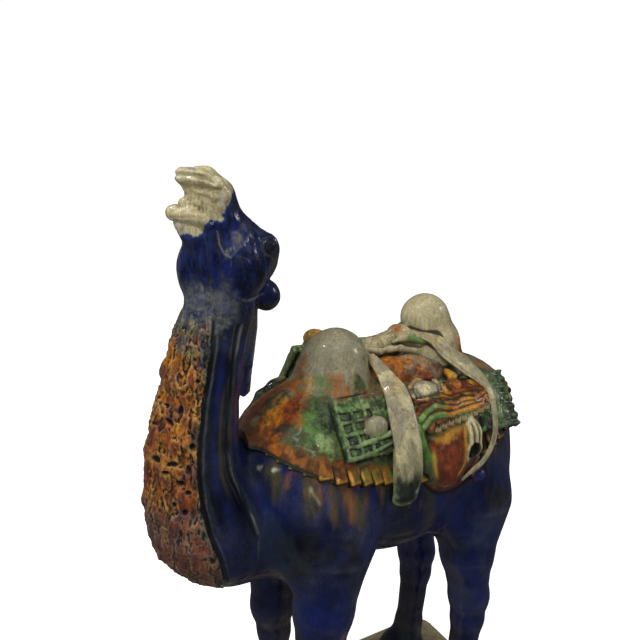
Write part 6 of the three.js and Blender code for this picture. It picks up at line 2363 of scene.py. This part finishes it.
@dataclass
class Skeins:
    """The hanks of silk that hold the load, and the loose strands beside the front ones."""

    body: Body
    front: Sequence[Station] = (
        (-2.0, -1.2, 70.4), (-2.1, -4.4, 69.3), (-2.2, -6.9, 68.1), (-2.3, -8.9, 66.8), (-3.0, -11.6, 64.1),
        (-3.6, -13.8, 60.8),
        (-3.6, -14.2, 57.0), (-3.7, -13.8, 54.0), (-3.6, -13.2, 51.4),
    )
    rear: Sequence[Station] = (
        (5.8, -1.2, 73.0), (8.2, -3.8, 72.2), (9.6, -5.7, 70.2), (11.6, -7.2, 68.4), (13.0, -9.6, 66.6),
        (13.3, -11.6, 65.2), (12.9, -13.3, 62.6), (12.5, -14.2, 59.6), (11.4, -14.6, 57.2),
        (9.6, -14.9, 55.5),
        (7.8, -14.9, 54.6), (5.6, -15.0, 53.6),
    )
    strand: Sequence[Station] = (
        (-5.5, -13.0, 60.8), (-5.2, -13.0, 58.0), (-5.4, -13.3, 55.6), (-4.7, -12.9, 51.6),
    )
    short_strand: Sequence[Station] = ((-5.2, -13.4, 61.0), (-5.5, -14.2, 59.4), (-5.1, -14.5, 57.0))
    front_girth: Sequence[tuple[float, float]] = (
        (0, 0.4), (0.15, 0.6), (0.3, 0.9), (0.5, 1.1), (0.8, 1.15), (0.95, 1.0), (1, 0.6),
    )
    rear_girth: Sequence[tuple[float, float]] = (
        (0, 0.6), (0.1, 0.9), (0.25, 0.95), (0.35, 0.6), (0.45, 0.3), (0.9, 0.22), (1, 0.12),
    )
    strand_girth: Sequence[tuple[float, float]] = ((0, 0.5), (0.3, 1.0), (0.8, 0.8), (1, 0.3))

    def build(self, kiln: Kiln) -> list[bpy.types.Object]:
        """Makes the finished hanks on both sides."""
        tree = Trees.hank(kiln.material)
        made = []
        for title, stations, girths, width, thickness, strands in (
            ("front_skein", self.front, self.front_girth, 0.027, 0.011, 5.0),
            ("rear_skein", self.rear, self.rear_girth, 0.026, 0.012, 9.0),
            ("strand", self.strand, self.strand_girth, 0.0052, 0.0052, 3.0),
            ("short_strand", self.short_strand, self.strand_girth, 0.0058, 0.005, 3.0),
        ):
            for side_name, side in (("near", 1), ("far", -1)):
                path = smooth_path(stations, 14) * (1, side, 1)
                share = np.linspace(0, 1, len(path))
                girth = np.interp(share, [g[0] for g in girths], [g[1] for g in girths])
                outward = outward_of(self.body.barrel, path)
                line = Trees.line("path", path, {"outward": outward}, {"girth": girth})
                sizes = {"Width": width, "Thickness": thickness, "Strands": strands, "Groove": 0.05}
                piece = Trees.grow(f"{side_name}_{title}", line, tree, sizes)
                made.append(self.dress(kiln, piece, title == "front_skein"))
        return made

    def dress(self, kiln: Kiln, piece: bpy.types.Object, tipped: bool) -> bpy.types.Object:
        """Paints a hank cream, with amber stains high up.

        Args:
            kiln: finishes it.
            piece: the grown hank.
            tipped: whether its end is dark with a pale green rim.

        Returns:
            The piece.
        """
        x, y, z = xyz(in_modules(piece.data))
        grain = self.body.grain
        coat = Coat.even(Glaze.CREAM, len(x))
        coat.lay(Glaze.ASH, 0.5 + 0.3 * grain(x + 4, y, z, 1.6, 4))
        coat.lay(Glaze.STRAW, 0.7 * ramp(0.0, 0.5, grain(x, y, z * 0.4, 1.2, 3)))
        stain = grain(x, y, z * 0.5, 1.5, 3)
        coat.lay(Glaze.GOLD, 0.75 * ridge(stain, 0.3, 0.08) * ramp(66, 68, z))
        coat.lay(Glaze.UMBER, 0.5 * ridge(grain(x + 3, y, z * 0.4, 1.0, 2), 0, 0.06))
        if tipped:
            low = ramp(58.2, 55.2, z + 1.4 * grain(x, y, z * 0.4, 1.2, 2))
            coat.lay(Glaze.MOSS, 0.9 * low)
            coat.lay(Glaze.FROST, 0.7 * low * ramp(0, 0.4, grain(x, y, z, 1.1, 2)))
            inner = ramp(1.75, 1.35, np.abs(x + 3.9) + 0.4 * grain(x, y, z, 1.0, 2)) * ramp(51.8, 52.6, z)
            coat.lay(Glaze.NIGHT, 0.9 * low * inner)
        coat.craze = np.full(len(x), 0.7)
        coat.dust = np.clip(0.15 + 0.3 * grain(x, y, z, 2, 2), 0, 1)
        return kiln.finish(piece, coat)


@dataclass
class Hem:
    """The blanket's pleated border: stiff tabs side by side, each with a raised bar along one edge."""

    body: Body
    pleats: int = 60
    tall: float = 4.0
    gap: float = 0.06
    proud: float = 0.3
    sunk: float = 1.1
    lift: float = 1.2

    def points(self) -> tuple[Array, float]:
        """The tabs' middles along the hem, evenly spaced, and the spacing."""
        body = self.body
        count, halvings = 720, 24
        turn = 2 * math.pi * np.arange(count + 1) / count
        near, far = np.full(count + 1, 4.0), np.full(count + 1, 30.0)
        for _ in range(halvings):
            middle = (near + far) / 2
            x, y = body.hem_middle + np.cos(turn) * middle, np.sin(turn) * middle
            inside = body.barrel(x, y, body.hem_height(x) + self.lift) < 0
            near, far = np.where(inside, middle, near), np.where(inside, far, middle)
        line = np.stack([body.hem_middle + np.cos(turn) * near, np.sin(turn) * near], 1)
        places, wide = evenly(line, self.pleats)
        return np.column_stack([places, body.hem_height(places[:, 0]) + self.lift]), wide

    def tab(self, wide: float) -> tuple[Skin, bpy.types.Object]:
        """One tab, in its own place: outward along Y and upward along Z.

        Args:
            wide: the spacing of the tabs.

        Returns:
            The skin in modules, and the object in metres.
        """
        half = (wide - self.gap) / 2

        def depth(x: Array, y: Array, z: Array) -> Array:
            """A tilted pillow with a bar along its +X edge."""
            out = y + 0.7 * (z + self.tall / 2) / self.tall - 0.1
            pillow = (np.abs(x) / half) ** 10 + (np.abs(z) / (self.tall / 2)) ** 9 + (np.abs(out) / 0.85) ** 4
            ribbed = (pillow - 1) * 0.3
            bar = Form.chain(((half - 0.3, 0.75, -1.35, 0.3), (half - 0.3, 0.2, 0.7, 0.2)), 0.1)(x, y, z)
            return soft_lower(ribbed, bar, 0.15)

        skin = Skin.over(Form(depth), (-1.7, -1.3, -1.9), (1.7, 1.7, 1.9), 0.2, 2)
        return skin, skin.as_copy("pleat")

    def build(self, kiln: Kiln, resting: Sequence[Form]) -> bpy.types.Object:
        """Makes the finished border.

        Args:
            kiln: finishes it.
            resting: forms that lie on it.

        Returns:
            The piece.
        """
        body = self.body
        points, wide = self.points()
        out = outward_of(body.barrel, points)
        up = np.array([0, 0, 1.0]) - out * out[:, 2:]
        rise = self.proud - 0.1 - self.sunk * ramp(-14.5, -17.5, points[:, 0])
        line = Trees.line("hem_line", points + out * rise[:, None], {"outward": out, "upward": up}, {})
        tab, copy = self.tab(wide)
        piece = Trees.grow("hem_pleats", line, Trees.row(kiln.material, copy), {"Size": 1.0, "Uneven": 0.03})
        own = np.tile(tab.points, (self.pleats, 1))
        brush = Brush(Skin.of_grown(piece), Glaze.OLIVE, body.grain)
        brush.mottle(Glaze.AMBER, 2.2, 1, 0.0, 0.7)
        brush.mottle(Glaze.PEAT, 1.8, 2, 0.2, 0.7)
        brush.mottle(Glaze.LEAF, 3.0, 3, 0.45, 0.4)
        half = wide / 2
        bar = np.exp(-(((own[:, 0] - half + 0.38) / 0.34) ** 4)) * ramp(0.8, 0.2, own[:, 2]) * ramp(0.35,
            0.6, own[:, 1])
        brush.fleck(Glaze.GOLD, 0.85 * bar, -0.4, 0.3, 1.6, 4)
        brush.wash(Glaze.GOLD, 0.8 * ramp(-1.1, -1.35, own[:, 2]) * ramp(0.3, 0.7, own[:, 1]))
        # painted shadow on the underside of each tab's lower edge
        brush.wash(Glaze.PEAT, ramp(-1.5, -1.62, own[:, 2]))
        slit = ramp(0.24, 0.08, half - np.abs(own[:, 0])) * (1 - bar) * ramp(1.6, 0.8, own[:, 2])
        brush.wash(Glaze.UMBER, 0.5 * ramp(-0.4, 0.2, brush.noise(1.6, 6)) * (1 - bar))
        brush.fleck(Glaze.RUST, 0.6 * ramp(0.2, 1.2, own[:, 2]), -0.3, 0.3, 2.0, 5)
        # painted shade in the slits between the tabs
        brush.wash(Glaze.NIGHT, 0.9 * slit)
        brush.coat.craze[:] = 0.15
        # the slits also go into the hollow mask, as painted shade
        brush.coat.hollow = 0.8 * slit
        # painted shade round the bags and hanks
        brush.shade_contacts(resting, 0.6)
        return kiln.finish(piece, brush.coat)


@dataclass
class Fin:
    """The strip of mane that stands off the nape."""

    body: Body
    thickness: float = 0.013 / MODULE

    def build(self, kiln: Kiln) -> bpy.types.Object:
        """Makes the finished piece."""
        half = self.thickness / 2

        def edge(z: Array) -> Array:
            """The x of the rear edge at each height."""
            return np.interp(z, (67.6, 68.6, 71.0, 74.5, 78, 82), (-23.0, -22.0, -21.7, -21.1, -20.6, -20.4))

        def depth(x: Array, y: Array, z: Array) -> Array:
            """Behind a straight edge, between two faces."""
            bottom = 67.7 + 0.9 * np.maximum(0, -23 - x) - z
            plan = -soft_lower(-(x - edge(z)), -bottom, 0.9)
            return -soft_lower(-plan, -(np.abs(y) - half), 0.6)

        skin = Skin.over(Form(depth), (-26.5, -2, 66.5), (-18.5, 2, 83), 0.17)
        x, y, z = xyz(skin.points)
        skin.press(0.03 * self.body.grain(x, y, z, 1.0, 3))
        brush = Brush(skin, Glaze.NIGHT, self.body.grain)
        brush.mottle(Glaze.COBALT, 2, 1, 0.0, 0.8, 2.0)
        near_edge = edge(z) - x
        brush.fleck(Glaze.ASH, 0.6 * ridge(near_edge, 0.3, 0.3), -0.5, 0.2, 1.6, 2)
        brush.wash(Glaze.SLATE, 0.6 * ridge(near_edge, 1.6, 0.3))
        brush.coat.dust[:] = 0.3
        brush.pool(4, 6)
        return kiln.fire("nape_fin", skin, brush.coat)


@dataclass
class Base:
    """The low plate that the figure stands on."""

    length: float = 0.3525
    width: float = 0.2006
    corner: float = 0.024
    rounding: float = 0.0025
    sides: int = 24

    def build(self, kiln: Kiln, grain: Grain) -> bpy.types.Object:
        """Makes the finished piece."""
        half = Form(self._depth)
        low = (MIDDLE - self.length / 2 / MODULE - 0.2, -self.width / 2 / MODULE - 0.2, SOLE - 2.4)
        high = (MIDDLE + self.length / 2 / MODULE + 0.2, self.width / 2 / MODULE + 0.2, SOLE + 0.2)
        skin = Skin.over(half, low, high, 0.42, 2)
        x, y, z = xyz(skin.points)
        coat = Coat.even(Glaze.CREAM, len(x))
        coat.lay(Glaze.TAN, 0.4 + 0.8 * grain(x, y, z, 5, 3))
        coat.lay(Glaze.AMBER, 0.7 * ramp(0.35, 0.8, grain(x + 5, y, z, 7, 3)))
        coat.craze = np.full(len(x), 0.4)
        coat.dust = np.full(len(x), 0.2)
        return kiln.fire("base", skin, coat)

    def _depth(self, x: Array, y: Array, z: Array) -> Array:
        """Distance to the rounded plate."""
        corner, soft = self.corner / MODULE, self.rounding / MODULE
        qx = np.abs(x - MIDDLE) - self.length / 2 / MODULE + corner
        qy = np.abs(y) - self.width / 2 / MODULE + corner
        plan = np.sqrt(np.maximum(qx, 0) ** 2 + np.maximum(qy, 0) ** 2) + np.minimum(np.maximum(qx, qy),
            0) - corner
        middle = SOLE - BASE_THICKNESS / MODULE / 2
        tall = np.abs(z - middle) - BASE_THICKNESS / MODULE / 2
        a, b = plan + soft, tall + soft
        return np.sqrt(np.maximum(a, 0) ** 2 + np.maximum(b, 0) ** 2) + np.minimum(np.maximum(a, b), 0) - soft


@dataclass
class Studio:
    """The pale floor, the soft lights and the camera."""

    floor_colour: tuple[float, float, float] = (0.86, 0.86, 0.86)
    camera_place: tuple[float, float, float] = (-0.4234, -0.6372, 0.772)
    forward: tuple[float, float, float] = (0.4769, 0.8259, -0.3007)
    focal_pixels: float = 750.0
    image_pixels: float = 640.0
    sensor: float = 36.0
    floor_glow: float = 0.8
    seen: float = 1.0
    mirrored: float = 0.06
    ambient: float = 0.34

    def build(self) -> None:
        """Sets up the floor, the lights and the camera."""
        bpy.context.scene.view_settings.view_transform = "Standard"
        self._floor()
        self._surround()
        self._lights()
        self._camera()

    def _floor(self) -> None:
        """A plain pale floor."""
        mesh = bpy.data.meshes.new("floor")
        reach = 6.0
        mesh.from_pydata([(-reach, -reach, 0), (reach, -reach, 0), (reach, reach, 0), (-reach, reach, 0)],
            [], [(0, 1, 2, 3)])
        floor = bpy.data.objects.new("floor", mesh)
        bpy.context.scene.collection.objects.link(floor)
        floor.visible_glossy = False
        floor.visible_diffuse = False
        paint = bpy.data.materials.new("floor")
        paint.use_nodes = True
        shader = paint.node_tree.nodes["Principled BSDF"]
        shader.inputs["Base Color"].default_value = (*self.floor_colour, 1.0)
        shader.inputs["Roughness"].default_value = 0.9
        shader.inputs["Emission Color"].default_value = (1.0, 1.0, 1.0, 1.0)
        shader.inputs["Emission Strength"].default_value = self.floor_glow
        mesh.materials.append(paint)
        floor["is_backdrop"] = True

    def _surround(self) -> None:
        """A white surround to the eye, dimmer as ambient light and dim in reflections."""
        world = bpy.data.worlds.new("surround")
        world.use_nodes = True
        tree = world.node_tree
        tree.nodes.clear()
        bench = Bench(tree)
        ray = bench.node("ShaderNodeLightPath", {}, {})
        seen, glossy = ray[0], ray[3]
        dim = self.ambient + glossy * (self.mirrored - self.ambient)
        strength = dim + seen * (self.seen - dim)
        back = bench.node("ShaderNodeBackground", {},
            {"Color": (1.0, 1.0, 1.0, 1.0), "Strength": strength})[0]
        bench.node("ShaderNodeOutputWorld", {}, {"Surface": back})
        bpy.context.scene.world = world

    def _lights(self) -> None:
        """Soft boxes: the key from the camera's upper left, a weak fill and two small ones for highlights."""
        for name, place, size, power, mirrored in (
            ("key", (-1.05, -0.45, 1.75), 0.5, 16.0, False),
            ("fill", (-0.2, -1.7, 0.9), 0.8, 3.5, False),
            ("top", (0.25, -0.45, 1.9), 0.3, 4.0, False),
            ("spark", (-0.64, 0.2, 1.7), 0.12, 3.5, True),
            ("glint", (-0.3, -0.9, 1.9), 0.06, 0.7, True),
            ("side", (1.5, -0.7, 1.2), 0.3, 3.0, True),
        ):
            light = bpy.data.lights.new(name, "AREA")
            light.size = size
            light.energy = power
            lamp = bpy.data.objects.new(name, light)
            lamp.location = place
            lamp.visible_glossy = mirrored
            aim = np.array((0.0, 0.0, 0.45)) - np.array(place)
            lamp.rotation_euler = self._facing(aim)
            bpy.context.scene.collection.objects.link(lamp)

    def _facing(self, aim: Array) -> tuple[float, float, float]:
        """Euler angles that point -Z along a direction and keep X level."""
        aim = aim / np.linalg.norm(aim)
        return math.acos(-aim[2]), 0.0, math.atan2(-aim[0], aim[1])

    def _camera(self) -> None:
        """The camera at the photograph's place and angle."""
        data = bpy.data.cameras.new("camera")
        data.sensor_width = self.sensor
        data.lens = self.focal_pixels / self.image_pixels * self.sensor
        data.clip_start = 0.01
        camera = bpy.data.objects.new("camera", data)
        camera.location = self.camera_place
        camera.rotation_euler = self._facing(np.array(self.forward))
        bpy.context.scene.collection.objects.link(camera)
        bpy.context.scene.camera = camera


def corners(box: tuple[Any, Any]) -> list[list[float]]:
    """A box's two corners as plain lists."""
    return [[float(v) for v in corner] for corner in box]


def main() -> None:
    """Builds the figure, piece by piece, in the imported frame."""
    logging.basicConfig(level=logging.INFO, format="%(message)s")
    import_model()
    cad_box = corners(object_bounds())
    Studio().build()
    kiln = Kiln(LeadGlaze().material())
    body = Body()
    head = Head(body)
    boards = Boards(body)
    mask = Mask(body)
    skeins = Skeins(body)
    bags = mask.form().on_both_sides()
    bands = Form.joined(
        0.1, Form.thread(skeins.front, 1.0), Form.thread(skeins.rear, 0.8)
    ).on_both_sides()
    load = (bags, bands, boards.near_form(), boards.far_form())
    Hide(body).build(kiln, (bags, bands))
    Neck(body, head).build(kiln)
    head.build(kiln)
    Blanket(body).build(kiln, load)
    boards.build(kiln, (bags, bands))
    mask.build(kiln)
    Saddle(body).build(kiln)
    skeins.build(kiln)
    Hem(body).build(kiln, (bags, bands))
    Fin(body).build(kiln)
    Base().build(kiln, body.grain)
    {"cad": cad_box, "visual": corners(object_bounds())}


if __name__ == "__main__":
    main()
